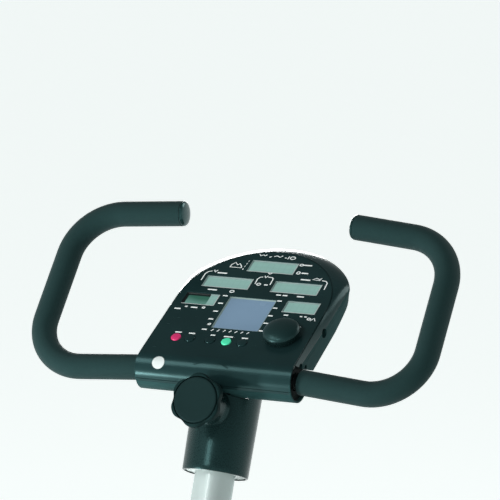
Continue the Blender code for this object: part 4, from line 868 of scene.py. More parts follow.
def underCover():
    outer, inner = faceTop - 0.0004, faceTop - 0.0024
    start, stop, steps = 179.3, 352.0, 48
    line = arc((0, 0), outer, start, stop, steps) + arc((0, 0), inner, start, stop, steps)[::-1]
    cover = loft([[(x, y, z) for y, z in line] for x in (-coverHalf, coverHalf)])
    wedge = [(0.0, 0.0)] + arc((0, 0), 0.030, 197, 360, 24)
    cut(cover, loft([[(x, y, z) for y, z in wedge] for x in (-0.021, 0.021)]))
    for side in (-1, 1):    # ribs along the shell, on both sides of the neck
        for turn in [radians(angle) for angle in console["coverRibs"]]:
            spot = at(side * 0.064, outer * cos(turn), outer * sin(turn)) @ turned(turn - pi / 2)
            cut(cover, put(block((0.062, 0.0012, 0.0016)), spot))
    soften(cover, 0.0004, 2, 50)
    fitFace(cover, "underCover", "case", "black_plastic", "under_cover")
    for name, side in sides:    # the discs that close the cover round the crossbar, near black as painted shade in the recess
        disc = lathe([(0.0118, 0.0), (0.0118, 0.0016), (0.0160, 0.0016), (0.0168, 0.0010), (0.0230, 0.0010),
                      (0.0236, 0.0016), (0.0236, 0.0)], 64, ring=True)
        spot = facePlace @ sideways(side * console["coverEnd"], 0, 0) @ facing(side)
        fit(disc, "coverEnd" + name, "deep", "head", "black_plastic", place=spot)


consoleBack()
underCover()
print("console back and under cover made")


# Displays, keys, dial and printed marks

def boxes(places, height, low):    # several boxes in one mesh
    pick()
    for k, (x, y, width, depth) in enumerate(places):
        centre, size = (x, y, low + height / 2), (width, depth, height)
        bpy.ops.mesh.primitive_cube_add(size=1.0, location=centre, scale=size)
        if k == 0:
            bpy.ops.object.transform_apply(location=True, rotation=True, scale=True)
            edit()
    return done()


def displays():
    outline = [(point.x, point.y) for point in consoleLine(0.094, 0.024, 0.094, 0.094, 0.0)]
    board = plate(outline, faceTop - 0.0136, faceTop - 0.0120)
    fitFace(board, "displayBoard", "board", "display_board", "display_board")
    windows = console["windows"]
    border, depth = console["bezel"], console["glassDepth"]
    low = faceTop - 0.0119
    frames = boxes([(x, y, w - 0.0006, h - 0.0006) for x, y, w, h in windows], 0.0113, low)
    pick(frames)
    edit()
    choose(lambda face: face.normal.z > 0.9)
    bpy.ops.mesh.inset(thickness=0.0003, use_individual=True)
    bpy.ops.mesh.inset(thickness=border, depth=-depth, use_individual=True)
    done()
    fitFace(frames, "displayFrames", "bezel", "display_board")
    shrink = 2 * border + 0.0006
    level = low + 0.0113 - depth - 0.0001
    lcd = boxes([(x, y, w - shrink, h - shrink) for x, y, w, h in windows[:5]], 0.0003, level)
    fitFace(lcd, "displayGlass", "glass", "display_board")
    screen = boxes([(x, y, w - shrink, h - shrink) for x, y, w, h in windows[5:]], 0.0003, level)
    fitFace(screen, "displayScreen", "screen", "display_board")
    # light strips along the bottom and right edge of each small display are painted highlights on the bezel's
    # chamfer
    thick, reach = console["paintedRimHighlight"], 0.0009
    paintedHighlightStrips = [(x, y - h / 2 + reach, w - 0.0012, thick) for x, y, w, h in windows[:5]]
    paintedHighlightStrips += [(x + w / 2 - reach, y, thick, h - 0.0012) for x, y, w, h in windows[:5]]
    edges = boxes(paintedHighlightStrips, 0.0010, low + 0.0106)
    fitFace(edges, "displayEdges", "lightPlastic", "display_board")


def keys():
    radius = console["keyRadius"]
    profile = [(0.0024, 0.0160), (0.0024, 0.0226), (radius, 0.0226), (radius, faceTop + 0.0007),
               (radius * 0.95, faceTop + 0.0012), (radius * 0.84, faceTop + 0.0014),
               (radius * 0.5, faceTop + 0.0015), (radius * 0.1, faceTop + 0.0016)]
    for name, x in console["keys"].items():
        key = lathe(profile, 48)
        finish = {"red": "red", "green": "green"}.get(name, "panel")
        slotName = {"red": "red_button", "green": "green_button"}.get(name, "panel_plastic")
        fit(key, name + "Key", finish, name + "_key", slotName, "button_" + name,
            place=facePlace @ at(x, console["keyRow"]))


jog = {"radius": 0.024, "start": 0.0006, "height": 0.0165, "skirt": 0.0078}


def jogDial():
    base, stop, radius = faceTop + jog["start"], faceTop + jog["height"], jog["radius"]
    skirt = jog["skirt"]
    low = lathe([(radius * 0.93, base), (radius * 0.950, base + 0.0006),
                 (radius * 0.962, base + skirt - 0.0010),
                 (radius * 0.945, base + skirt - 0.0003), (radius * 0.60, base + skirt - 0.0003)], 96)
    pick(low)
    edit()

    def onSlot(face):    # every other strip of the skirt's wall
        middle = face.calc_center_median()
        walled = abs(face.normal.z) < 0.3 and base + 0.0010 < middle.z < base + skirt * 0.7
        return walled and (degrees(atan2(middle.y, middle.x)) // 3.75) % 2 < 0.5

    choose(onSlot)
    bpy.ops.mesh.inset(thickness=0.0002, depth=-0.0002)
    done()
    cut(low, pin(0.0030, 0.0150, base + 0.001, 24), "UNION")
    # the skirt takes the darker sleeve finish as painted shade under the dome's rim
    fit(low, "dialSkirt", "sleeve", "dial", "black_plastic",
        place=facePlace @ at(*console["dial"]), sharp=24)
    profile = [(radius * 0.940, base + skirt - 0.0002), (radius * 0.978, base + skirt - 0.0001),
               (radius * 0.985, base + skirt + 0.0003), (radius * 0.978, base + skirt + 0.0009)]
    for turn in (5, 12, 20, 28, 36, 44, 52, 60, 68, 76, 84):
        t = radians(turn)
        profile.append((radius * 0.97 * cos(t) ** 0.86,
                        base + skirt + (stop - base - skirt) * sin(t) ** 0.95))
    profile.append((0.0006, stop))
    dial = lathe(profile, 96)
    fit(dial, "jogDial", "dome", "dial", "black_plastic", "jog_dial",
        place=facePlace @ at(*console["dial"]), sharp=24)


def strokes(name, lines, radius, finish):    # printed lines on the face, in millimetres across and up
    trace([[(x / 1000, y / 1000, 0.0) for x, y in line] for line in lines], radius, 1)
    bpy.ops.mesh.select_all(action="SELECT")
    bpy.ops.transform.resize(value=(1, 1, 0.10), center_override=(0, 0, 0))
    return fit(done(), name, finish, "head", "light_plastic", place=facePlace @ at(0, 0, faceTop))


def dash(x, y, length, gap=0.0):    # one short bar, or two with a gap, standing for a word
    if gap:
        half = (length - gap) / 2
        return [[(x, y), (x + half, y)], [(x + half + gap, y), (x + length, y)]]
    return [[(x, y), (x + length, y)]]


def loop(x, y, width, height):
    turns = [tau * i / 14 for i in range(14)]
    points = [(x + width / 2 * cos(t), y + height / 2 * sin(t)) for t in turns]
    return [points + points[:1]]


def printedMarks():
    words = []
    for x, y, length, gap in (
        (39.5, 192.6, 11.5, 0), (43.0, 176.6, 9.0, 0), (-68.5, 163.8, 13.0, 0), (47.0, 164.0, 13.0, 0),
        (-67.5, 129.6, 12.5, 0), (27.0, 130.2, 15.5, 2.5), (55.5, 130.4, 9.5, 0), (3.0, 147.6, 5.0, 0),
        (-96.0, 87.4, 8.5, 0), (-83.6, 92.8, 3.6, 0), (-75.0, 92.2, 9.0, 0), (53.0, 92.8, 6.0, 0),
        (75.0, 92.6, 9.5, 2.5), (-75.0, 42.2, 9.0, 0), (-56.0, 42.0, 8.6, 0), (-26.0, 42.2, 6.2, 0),
        (-7.6, 41.8, 12.5, 0), (17.0, 41.8, 8.4, 0),
    ):
        words += dash(x, y, length, gap)
    for y in (119.8, 104.6, 88.5, 72.8, 52.0):
        words += dash(-42.2, y, 6.4)
    for y in (118.8, 104.4, 88.9, 73.9, 58.6):
        words += dash(33.2, y, 6.2)
    strokes("printedWords", words, 0.00115, "ink")
    signs = [
        [(-84.5, 146.5), (-84.2, 160.0), (-81.5, 164.6), (-77.0, 166.2)],               # left bracket
        [(-9.8, 147.8), (-10.4, 158.2), (-7.8, 162.0), (-4.6, 162.8)],                  # middle bracket
        [(2.4, 163.2), (8.2, 162.8), (10.2, 160.6), (10.8, 148.4)],
        [(76.0, 165.2), (81.6, 164.6), (84.6, 161.0), (85.4, 148.0)],                   # right bracket
        [(-57.0, 177.2), (-56.6, 182.0), (-52.6, 187.0), (-48.6, 182.2), (-46.0, 185.2), (-42.0, 180.0),
         (-41.4, 177.0), (-57.0, 177.2)],                                               # hills
        [(-74.6, 168.6), (-72.4, 164.4), (-70.2, 168.8)],                               # ticks
        [(-2.8, 165.2), (-0.8, 161.4), (1.4, 165.4)],
        [(-27.4, 206.8), (-25.0, 204.0), (-22.0, 206.4), (-19.2, 204.6), (-17.4, 207.2)],
        [(-12.6, 202.6), (-9.8, 204.2)], [(-6.8, 204.8), (-3.0, 206.6), (1.6, 204.2), (4.6, 207.4)],
        [(8.6, 203.8), (11.2, 203.6)], [(13.8, 207.2), (13.2, 201.6)],
        [(62.6, 165.6), (66.8, 169.0), (71.8, 167.2), (74.2, 170.2), (72.6, 164.8), (62.6, 165.6)],
        [(-1.0, 171.6), (1.6, 169.4), (4.4, 171.8)],
        [(91.8, 86.4), (95.2, 91.6), (98.0, 86.2)],
        [(81.8, 73.6), (85.0, 72.2)],
    ]
    signs += loop(19.4, 204.6, 6.8, 5.4) + loop(36.6, 192.4, 4.6, 3.6) + loop(38.6, 176.4, 4.4, 4.8)
    signs += loop(-34.0, 129.4, 5.6, 4.2) + loop(-4.6, 147.8, 5.2, 4.0) + loop(88.6, 89.2, 4.4, 3.6)
    signs += loop(-58.0, 93.4, 3.4, 2.6) + loop(-36.8, 62.8, 3.2, 3.0)
    for i in range(7):    # slanted ticks under the graphic display
        x = -27.6 + 8.1 * i
        signs.append([(x - 1.4, 50.2), (x + 0.8, 53.8)])
    strokes("printedSigns", signs, 0.00072, "ink")
    dots = []
    for y in (174.8, 180.4, 186.0, 191.6):
        dots += dash(-38.4 + 0.10 * (y - 174.8), y, 0.9)
    strokes("printedDots", dots, 0.0015, "ink")


def onCover(across, down, lift):    # a point on the face, or round the cover once past the fold
    if down < 0:
        return Vector((across, -down, faceTop + lift))
    turn = down / faceTop
    return Vector((across, -(faceTop + lift) * sin(turn), (faceTop + lift) * cos(turn)))


def wrapped(outlines, lift):    # outlines in (across, down), inside to outside, laid on the cover
    top = [[onCover(x, y, lift) for x, y in line] for line in outlines]
    low = [onCover(x, y, -0.0004) for x, y in outlines[-1]]
    return loft(top + [low])


def disc(across, down, radius):
    return [(across + radius * cos(t), down + radius * sin(t)) for t in [tau * i / 48 for i in range(48)]]


def coverDetails():
    spot = (-0.0750, 0.0148)
    rim = wrapped([disc(*spot, r) for r in (0.0010, 0.0040, 0.0070, 0.0090)], 0.00010)
    fitFace(rim, "labelRim", "smooth", "light_plastic")
    label = wrapped([disc(*spot, r) for r in (0.0010, 0.0030, 0.0055, 0.0082)], 0.00022)
    fitFace(label, "blankLabel", "label", "light_plastic")
    patch = [[(x, y + 0.0080) for x, y in roundedBox(w, h, r, 6)]
             for w, h, r in ((0.012, 0.002, 0.0008), (0.030, 0.008, 0.0010), (0.0460, 0.0150, 0.0012),
                             (0.0470, 0.0160, 0.0014))]
    raised = wrapped([[(x - 0.0035, y) for x, y in line] for line in patch], 0.00035)
    fitFace(raised, "coverPatch", "panel", "panel_plastic")


displays()
keys()
jogDial()
printedMarks()
coverDetails()
print("displays, keys, dial and marks made")


# Neck: sleeve, ring, clamp knob and post, in the post's frame

neck = {
    "sleeveLow": -0.1206, "sleeveHigh": 0.004, "footRadius": 0.0412, "topRadius": 0.0428, "wall": 0.003,
    "bossRadius": 0.021, "bossEnd": 0.0704, "coverSweep": 0.0268, "ringRadius": 0.0379, "ringLow": -0.1191,
    "ringLength": 0.008, "ringSlots": 12, "postRadius": 0.025, "postWall": 0.0025, "postLow": -0.90183,
    "postTop": -0.030, "knobRadius": 0.034, "knobLobe": 0.0038, "knobRim": 0.0098, "lobes": 6,
    "knobStart": 0.071, "knobTop": 0.0896, "capRadius": 0.0288, "capStart": 0.0843, "capTop": 0.0902,
    "capGroove": 0.0008,
}


def lobedRing(radius, lobe, lobes, height, scale):
    line = []
    for turn in [tau * i / 96 for i in range(96)]:
        reach = scale * (radius - lobe * (0.5 + 0.5 * cos(lobes * turn)) ** 1.5)
        line.append((reach * cos(turn), reach * sin(turn), height))
    return line


def tube(radius, wall, low, high):
    edge = 0.0006
    return lathe([(radius - edge, low), (radius, low + edge), (radius, high - edge), (radius - edge, high),
                  (radius - wall, high), (radius - wall, low)], 96, ring=True)


def neckPieces():
    low, high = neck["sleeveLow"], neck["sleeveHigh"]
    foot, top, wall = neck["footRadius"], neck["topRadius"], neck["wall"]

    def outside(z):
        return foot + (top - foot) * (z - low) / (high - low)

    profile = [(foot - 0.0014, low), (foot - 0.0005, low + 0.0003), (foot, low + 0.0012)]
    profile += [(outside(z), z) for z in (low + 0.006, low + 0.03, low + 0.06, low + 0.09, high)]
    profile += [(top - wall, high), (foot - wall, low + 0.004), (foot - wall, low)]
    sleeve = lathe(profile, 128, ring=True)
    radius, end = neck["bossRadius"], neck["bossEnd"]
    boss = lathe([(radius + 0.003, 0.0395), (radius + 0.0016, 0.0425), (radius + 0.0005, 0.0450),
                  (radius, 0.0480), (radius, end - 0.0008), (radius - 0.0008, end)], 64)
    cut(sleeve, put(boss, postPlace.inverted() @ knobPlace), "UNION")
    sweep = pin(neck["coverSweep"], -0.08, 0.08, 96)
    cut(sleeve, put(sweep, postPlace.inverted() @ sideways(*barCentre)))
    fit(sleeve, "headSleeve", "sleeve", "stand", "black_plastic", "head_sleeve", place=postPlace, sharp=32)

    ringLow, ringHigh = neck["ringLow"], neck["ringLow"] + neck["ringLength"]
    outer, inner = neck["ringRadius"], neck["postRadius"] + 0.0003
    ring = lathe([(outer, ringLow + 0.0006), (outer, ringHigh), (inner, ringHigh), (inner, ringLow),
                  (outer - 0.0006, ringLow)], 96, ring=True)
    for k in range(neck["ringSlots"]):
        turn = turned(tau * k / neck["ringSlots"], "Z")
        slot = block((0.0042, 0.0052, 0.006), ((outer + inner) / 2 + 0.0006, 0, ringLow + 0.0010), 0.0006, 2)
        cut(ring, put(slot, turn))
    fit(ring, "sleeveRing", "lightPlastic", "stand", "light_plastic", "sleeve_ring", place=postPlace)

    post = tube(neck["postRadius"], neck["postWall"], neck["postLow"], neck["postTop"])
    fit(post, "handlebarPost", "silver", "stand", "silver_paint", "handlebar_post", place=postPlace)

    radius, lobe, lobes = neck["knobRadius"], neck["knobLobe"], neck["lobes"]
    start, stop = neck["knobStart"], neck["knobTop"]
    back = stop - neck["knobRim"]
    heights = ((start, 0.60), (start + 0.0008, 0.63), (back - 0.0030, 0.72), (back - 0.0012, 0.93),
               (back, 0.990), (back + 0.0012, 1.0), (stop - 0.0030, 1.0), (stop - 0.0014, 0.996),
               (stop - 0.0005, 0.985), (stop, 0.965))
    knob = loft([lobedRing(radius, lobe, lobes, z, scale) for z, scale in heights])
    groove = neck["capRadius"] + neck["capGroove"]
    recess = lathe([(groove, neck["capStart"] - 0.0003), (groove, stop - 0.0004),
                    (groove + 0.0006, stop + 0.0003)], 96)
    cut(knob, recess)
    screw = pin(0.005, -0.010, start + 0.002)
    cut(knob, screw, "UNION")
    fit(knob, "clampKnob", "knob", "head_clamp_knob", "black_plastic", "clamp_knob", place=knobPlace,
        sharp=40)
    radius, start, stop = neck["capRadius"], neck["capStart"], neck["capTop"]
    cap = lathe([(radius - 0.0004, start), (radius, start + 0.0004), (radius, stop - 0.0018),
                 (radius - 0.0003, stop - 0.0009), (radius - 0.0009, stop - 0.0003), (radius - 0.0018, stop),
                 (radius - 0.0040, stop - 0.00004), (radius * 0.6, stop - 0.0003),
                 (radius * 0.3, stop - 0.0004), (0.0006, stop - 0.0004)], 96)
    fit(cap, "knobCap", "knobFace", "head_clamp_knob", "black_plastic", "knob_cap", place=knobPlace)


neckPieces()
print("neck made")


# Base: spine, stabilisers, feet and transport wheels

base = {
    "reach": 0.480, "tubeHalf": 0.230, "tubeRadius": 0.025, "tubeWall": 0.0025, "axis": 0.040,
    "spineHalf": 0.4547, "spineLow": 0.020, "spineSize": 0.050, "spineCorner": 0.006, "bead": 0.0018,
    "footMiddle": 0.225, "footLength": 0.046, "footDepth": 0.060, "footHeight": 0.070, "footEdge": 0.0035,
    "socket": 0.0253, "socketStart": 0.2014, "wheelPlace": (0.4835, 0.030), "wheelRadius": 0.0265,
    "wheelStart": 0.2486, "wheelWidth": 0.020, "boltPlaces": (-0.125, 0.070, 0.265), "boltRadius": 0.0075,
    "boltOut": 0.0305, "boltHeight": 0.046, "footTip": 0.020, "soleGrooves": (-0.018, -0.009, 0.0, 0.009),
    "endGrooves": (0.030, 0.038, 0.046),
}


def hexHead(radius, height, washer=0.0):    # a bolt head on a washer, its seat at local height 0
    head = lathe([(radius * 0.92, 0.0), (radius, height * 0.12), (radius, height * 0.75),
                  (radius * 0.86, height)], 6)
    soften(head, radius * 0.05, 1)
    if washer:
        cut(head, lathe([(washer, -0.0002), (washer, 0.0009), (washer * 0.97, 0.0012)], 48), "UNION")
    return head


def basePieces():
    size, low = base["spineSize"], base["spineLow"]
    spine = plate(roundedBox(size, size, base["spineCorner"], 8), -base["spineHalf"], base["spineHalf"])
    hollow = size - 2 * base["tubeWall"]
    cut(spine, plate(roundedBox(hollow, hollow, base["spineCorner"] - base["tubeWall"], 8), -0.5, 0.5))
    lengthwise = at(0, 0, low + size / 2) @ quarterTurn
    fit(spine, "baseSpine", "silver", "stand", "silver_paint", "base_spine", place=lengthwise, sharp=30)
    for name, y in (("rearStabiliser", -base["reach"]), ("frontStabiliser", base["reach"])):
        half = base["tubeHalf"]
        node = "rear_stabiliser" if y < 0 else "front_stabiliser"
        made = tube(base["tubeRadius"], base["tubeWall"], -half, half)
        fit(made, name, "silver", "stand", "silver_paint", node, place=sideways(0, y, base["axis"]))
        end = copysign(base["spineHalf"] - 0.0004, y)
        bead = [(x, z, end) for x, z in roundedBox(size, size, base["spineCorner"], 6)]
        bead = bar(bead + bead[:2], base["bead"], 4)
        spot = at(0, 0, low + size / 2) @ Matrix(((1, 0, 0, 0), (0, 0, 1, 0), (0, 1, 0, 0), (0, 0, 0, 1)))
        fit(bead, name + "Weld", "silver", "stand", "silver_paint", place=spot, sharp=60)
    for y in base["boltPlaces"]:
        for name, side in sides:
            spot = sideways(side * base["boltOut"], y, base["boltHeight"]) @ facing(side)
            fit(hexHead(base["boltRadius"], 0.0052, 0.0095),
                "plateBolt%s%d" % (name, round(y * 1000) + 200), "steel", "stand", "steel", place=spot)


def feet():
    depth, height = base["footDepth"] / 2, base["footHeight"]
    for name, side in sides:
        for label, end in (("rear", -1), ("front", 1)):
            tip = base["footTip"]
            outline = [(-depth, 0.0), (depth - tip, 0.0), (depth, tip), (depth, height - tip / 2),
                       (depth - tip / 2, height), (tip / 2 - depth, height), (-depth, height - tip / 2)]
            half = base["footLength"] / 2
            foot = plate([(end * y, z) for y, z in outline], -half, half)
            soften(foot, base["footEdge"], 4, 25)
            spot = sideways(side * base["footMiddle"], end * base["reach"], 0)
            grooves = [(end * (y - 0.006), 0.0, 0.0030, 0.0036) for y in base["soleGrooves"]]
            cut(foot, boxes(grooves, 0.10, -0.05))
            cut(foot, boxes([(end * depth, z, 0.0022, 0.0026) for z in base["endGrooves"]], 0.10, -0.05))
            put(foot, spot)
            hole = pin(base["socket"],
                       *sorted((side * base["socketStart"], side * (base["tubeHalf"] + 0.0003))), 96)
            cut(foot, put(hole, sideways(0, end * base["reach"], base["axis"])))
            if end > 0:    # the stub that the transport wheel turns on
                start, stop = base["wheelStart"], base["wheelStart"] + base["wheelWidth"]
                stub = lathe([(0.004, start - 0.004), (0.004, stop + 0.0008), (0.0070, stop + 0.0008),
                              (0.0070, stop + 0.0038), (0.0060, stop + 0.0047), (0.0030, stop + 0.0050)], 48)
                cut(foot, put(stub, sideways(0, *base["wheelPlace"]) @ facing(side)), "UNION")
            fit(foot, label + "Foot" + name, "rubber", "stand", "rubber",
                "%s_foot_%s" % (label, name.lower()), sharp=30)


def transportWheels():
    radius, half = base["wheelRadius"], base["wheelWidth"] / 2
    for name, side in sides:
        profile = [
            (radius - 0.0030, half), (radius - 0.0010, half - 0.0008), (radius, half - 0.0030),
            (radius, 0.0018), (radius - 0.0010, 0.0012), (radius - 0.0010, -0.0012), (radius, -0.0018),
            (radius, 0.0030 - half), (radius - 0.0010, 0.0008 - half), (radius - 0.0030, -half),
            (0.0190, -half), (0.0180, 0.0020 - half), (0.0095, 0.0020 - half), (0.0085, -half),
            (0.0046, -half), (0.0046, half), (0.0085, half), (0.0095, half - 0.0026),
            (0.0180, half - 0.0026), (0.0190, half),
        ]
        wheel = lathe(profile, 72, ring=True)
        middle = base["wheelStart"] + half
        for k in range(6):
            turn = turned(tau * k / 6, "Z")
            cut(wheel, put(put(pin(0.0026, -0.02, 0.02, 24), at(0.0138, 0)), turn))
        fit(wheel, "transportWheel" + name, "smooth", name.lower() + "_transport_wheel", "rubber",
            "transport_wheel_" + name.lower(), place=sideways(side * middle, *base["wheelPlace"]), sharp=32)


basePieces()
feet()
transportWheels()
print("base made")


# Housing halves, with their screws, vents, inlet and switch

housing = {
    "rim": 0.140, "frontRim": 0.152, "half": 0.0578, "edge": 0.010, "wall": 0.0025, "seam": 0.00015,
    "groove": 0.0011, "grooveInset": 0.019, "crankHole": 0.014, "tubeHole": 0.0256,
    "plateHole": (0.0309, -0.16236, 0.30164, 0.020, 0.250),
    "screws": ((-0.165, 0.385), (-0.020, 0.440), (0.165, 0.380), (0.325, 0.330), (0.300, 0.150),
               (-0.150, 0.260)),
    "ventMiddle": (0.215, 0.255), "vents": 9, "ventPitch": 0.0085, "ventLong": 0.070, "ventWide": 0.0036,
    "ventShift": 0.004, "screwSeat": 0.0012,
    "inlet": (0.29864, 0.203), "inletSize": (0.028, 0.024), "switch": (0.29864, 0.233),
    "switchSize": (0.028, 0.013),
}


def housingLine(inset=0.0):
    return wrap((bracket.y, bracket.z), housing["rim"] - inset, (wheelAxis.y, wheelAxis.z),
                housing["frontRim"] - inset, 48)


def housingSolid(side, inset, start, stop, edge):
    rings = [[(side * start, y, z) for y, z in housingLine(inset)]]
    for i in range(7):
        turn = radians(90 * i / 6)
        line = housingLine(inset + edge * (1 - cos(turn)))
        rings.append([(side * (stop - edge + edge * sin(turn)), y, z) for y, z in line])
    return loft(rings)


def housings():
    half, wall, edge = housing["half"], housing["wall"], housing["edge"]
    for name, side in sides:
        shell = housingSolid(side, 0.0, housing["seam"], half, edge)
        cut(shell, housingSolid(side, wall, -0.010, half - wall, edge - wall))
        cut(shell, put(pin(housing["crankHole"], -0.01, 0.01, 64),
                       sideways(side * half, bracket.y, bracket.z)))
        for spot in (postPlace, seatPlace):
            reach = (spot.inverted() @ bracket).z
            cut(shell, put(pin(housing["tubeHole"], reach, reach + 0.30, 96), spot))
        wide, back, front, low, high = housing["plateHole"]
        cut(shell, block((2 * wide, front - back, high - low), (0, (back + front) / 2, (low + high) / 2)))
        inset, groove = housing["grooveInset"], housing["groove"]
        line = plate(housingLine(inset), -0.0009, 0.01)
        cut(line, plate(housingLine(inset + groove), -0.02, 0.02))
        cut(shell, put(line, at(side * half, 0) @ handedView(side)))
        y, z = housing["ventMiddle"]
        rows = [k - (housing["vents"] - 1) / 2 for k in range(housing["vents"])]
        vents = boxes([(y - housing["ventShift"] * row, z + row * housing["ventPitch"], housing["ventLong"],
                        housing["ventWide"]) for row in rows], 0.02, -0.01)
        soften(vents, 0.0016, 3)
        cut(shell, put(vents, at(side * half, 0) @ handedView(side)))
        for y, z in housing["screws"]:
            pocket = lathe([(0.0058, -housing["screwSeat"]), (0.0064, 0.006)], 48)
            cut(shell, put(pocket, at(side * half, y, z) @ outward(side)))
        if side < 0:
            for spot, size in ((housing["inlet"], housing["inletSize"]),
                               (housing["switch"], housing["switchSize"])):
                cut(shell, block((0.02, size[0] + 0.0006, size[1] + 0.0006), (-half, *spot)))
        fit(shell, "housing" + name, "case", "stand", "black_plastic", "housing_" + name.lower(), sharp=28)
        for k, (y, z) in enumerate(housing["screws"]):
            head = put(screwHead(0.0048, 0.0022),
                       at(side * (half - housing["screwSeat"]), y, z) @ outward(side))
            fit(head, "housingScrew%s%d" % (name, k + 1), "steel", "stand", "steel")
        rim, bore = housing["crankHole"] - 0.0004, 0.0106
        collar = lathe([(rim, -0.0035), (rim, 0.0014), (rim - 0.0008, 0.0022), (bore + 0.0006, 0.0022),
                        (bore, 0.0014), (bore, -0.0035)], 64, ring=True)
        fit(collar, "crankSeal" + name, "rubber", "stand", "rubber",
            place=at(side * half, bracket.y, bracket.z) @ outward(side))


def handedView(side):    # local X to +Y, local Y to +Z, local Z away from the machine
    return Matrix(((0, 0, side, 0), (1, 0, 0, 0), (0, 1, 0, 0), (0, 0, 0, 1)))


def outward(side):
    return turned(radians(90 * side), "Y")


def sockets():
    half = housing["half"]
    y, z = housing["inlet"]
    wide, high = housing["inletSize"]
    inlet = block((0.0150, wide, high), (-half + 0.0072, y, z), 0.0006, 2)
    flange = put(plate(roundedBox(wide + 0.008, high + 0.004, 0.003, 6), 0.0003, 0.0021, 0.0005),
                 handedView(-1))
    cut(inlet, put(flange, at(-half, y, z)), "UNION")
    corner = 0.0055
    inner = [(-0.011, -0.009), (0.011, -0.009), (0.011, 0.009 - corner), (0.011 - corner, 0.009),
             (corner - 0.011, 0.009), (-0.011, 0.009 - corner)]
    recess = put(plate(inner, -0.0075, 0.006), handedView(-1))
    cut(inlet, put(recess, at(-half, y, z)))
    fit(inlet, "powerInlet", "smooth", "stand", "black_plastic", "power_inlet", sharp=30)
    pins = put(boxes([(-0.0062, -0.0020, 0.0020, 0.0044), (0.0062, -0.0020, 0.0020, 0.0044),
                      (0.0, 0.0036, 0.0020, 0.0044)], 0.0080, -0.0078), handedView(-1))
    soften(pins, 0.0004, 2)
    fit(put(pins, at(-half, y, z)), "inletPins", "chrome", "stand", "steel")
    for k, shift in enumerate((-0.0158, 0.0158)):
        head = put(screwHead(0.0017, 0.0008), at(-half - 0.0021, y + shift, z) @ outward(-1))
        fit(head, "inletScrew%d" % (k + 1), "steel", "stand", "steel")
    y, z = housing["switch"]
    wide, high = housing["switchSize"]
    inside = high / 2 - 0.0006
    profile = [(-0.0035, inside), (-0.0022, inside * 0.62), (-0.0009, 0.0022), (-0.0001, 0.0008),
               (-0.0003, -0.0010), (-0.0010, -inside), (0.0040, -inside), (0.0040, inside)]
    length = wide - 0.0012
    rocker = plate(profile, -length / 2, length / 2)
    soften(rocker, 0.0005, 2, 50)
    spot = at(-half, y, z) @ quarterTurn
    fit(rocker, "powerSwitch", "switch", "mains_switch", "red_button", "power_switch", place=spot, sharp=40)
    surround = put(plate(roundedBox(wide + 0.0036, high + 0.0030, 0.0012, 4), 0.0002, 0.0011, 0.0003),
                   handedView(-1))
    cut(surround, block((0.01, wide, high)))
    fit(put(surround, at(-half, y, z)), "switchFrame", "smooth", "stand", "black_plastic")


housings()
sockets()
print("housing made")


# Cranks, pedals and straps

drive = {
    "length": 0.170, "thick": 0.014, "middle": 0.0708, "rest": radians(28.0), "bigEnd": 0.021,
    "smallEnd": 0.0145, "armEdge": 0.0022, "axleRadius": 0.010, "axleHalf": 0.0798, "shaftRadius": 0.006,
    "collar": 0.010, "pedalMiddle": 0.1318, "pedalWide": 0.092, "pedalLong": 0.100, "pedalThick": 0.0196,
    "windowLong": 0.026, "windowWide": 0.068, "windowPlace": 0.027, "strapWide": 0.026, "strapWall": 0.0025,
    "edgePocket": (0.006, 0.011, 0.070), "studRows": (-0.0452, -0.008, 0.008, 0.0452), "studPitch": 0.0085,
    "holeTurn": 9.5, "strapPlace": 0.026, "strapHalf": 0.0463, "strapLow": -0.0113, "strapTop": 0.0233,
    "arch": 0.052, "strapHoles": 7,
}


def crankTip(side):
    turn = drive["rest"]
    return side * drive["length"] * cos(turn), -side * drive["length"] * sin(turn)


def cranks():
    half = drive["thick"] / 2
    axle = lathe([(0.0092, -drive["axleHalf"]), (drive["axleRadius"], 0.0010 - drive["axleHalf"]),
                  (drive["axleRadius"], drive["axleHalf"] - 0.0010), (0.0092, drive["axleHalf"])], 64)
    for end in (-1, 1):
        socket = pin(0.0052, drive["axleHalf"] - 0.0060, drive["axleHalf"] + 0.002, 6)
        cut(axle, put(socket, facing(end)))
    fit(axle, "crankAxle", "chrome", "crankset", "steel", "crank_axle", place=sideways(*bracket), sharp=30)
    for name, side in sides:
        tip = crankTip(side)
        outline = wrap((0, 0), drive["bigEnd"], tip, drive["smallEnd"], 28)
        arm = plate(outline, -half, half)
        soften(arm, drive["armEdge"], 4, 50)
        near, far = (tip[0] * 0.20, tip[1] * 0.20), (tip[0] * 0.84, tip[1] * 0.84)
        face = half if side > 0 else -half
        groove = plate(wrap(near, 0.0072, far, 0.0048, 14), face - 0.0014, face + 0.0014)
        cut(arm, soften(groove, 0.0009, 2, 50))
        cut(arm, pin(drive["axleRadius"] + 0.0003, -0.02, 0.02, 64))
        cut(arm, put(pin(drive["shaftRadius"] + 0.0003, -0.02, 0.02, 48), at(*tip)))
        fit(arm, "crankArm" + name, "steel", "crankset", "steel", "crank_arm_" + name.lower(),
            place=sideways(side * drive["middle"], bracket.y, bracket.z), sharp=30)
        inner, outer = drive["middle"] - half, drive["middle"] + half
        end = drive["pedalMiddle"] + drive["pedalWide"] / 2 - 0.008
        thin, thick = drive["shaftRadius"], drive["collar"]
        shaft = lathe([(thin, inner), (thin, outer + 0.0003), (thick, outer + 0.0003),
                       (thick, outer + 0.0074), (thin, outer + 0.0074), (thin, end - 0.001),
                       (thin - 0.001, end)], 48)
        flats = block((0.030, 0.030, 0.0045), (0, 0, outer + 0.0042))
        cut(flats, block((0.0165, 0.040, 0.010), (0, 0, outer + 0.0042)))
        cut(shaft, flats)
        spot = sideways(0, bracket.y + tip[0], bracket.z + tip[1])
        fit(put(shaft, facing(side)), "pedalAxle" + name, "steel", "crankset", "steel",
            "pedal_axle_" + name.lower(), place=spot, sharp=30)


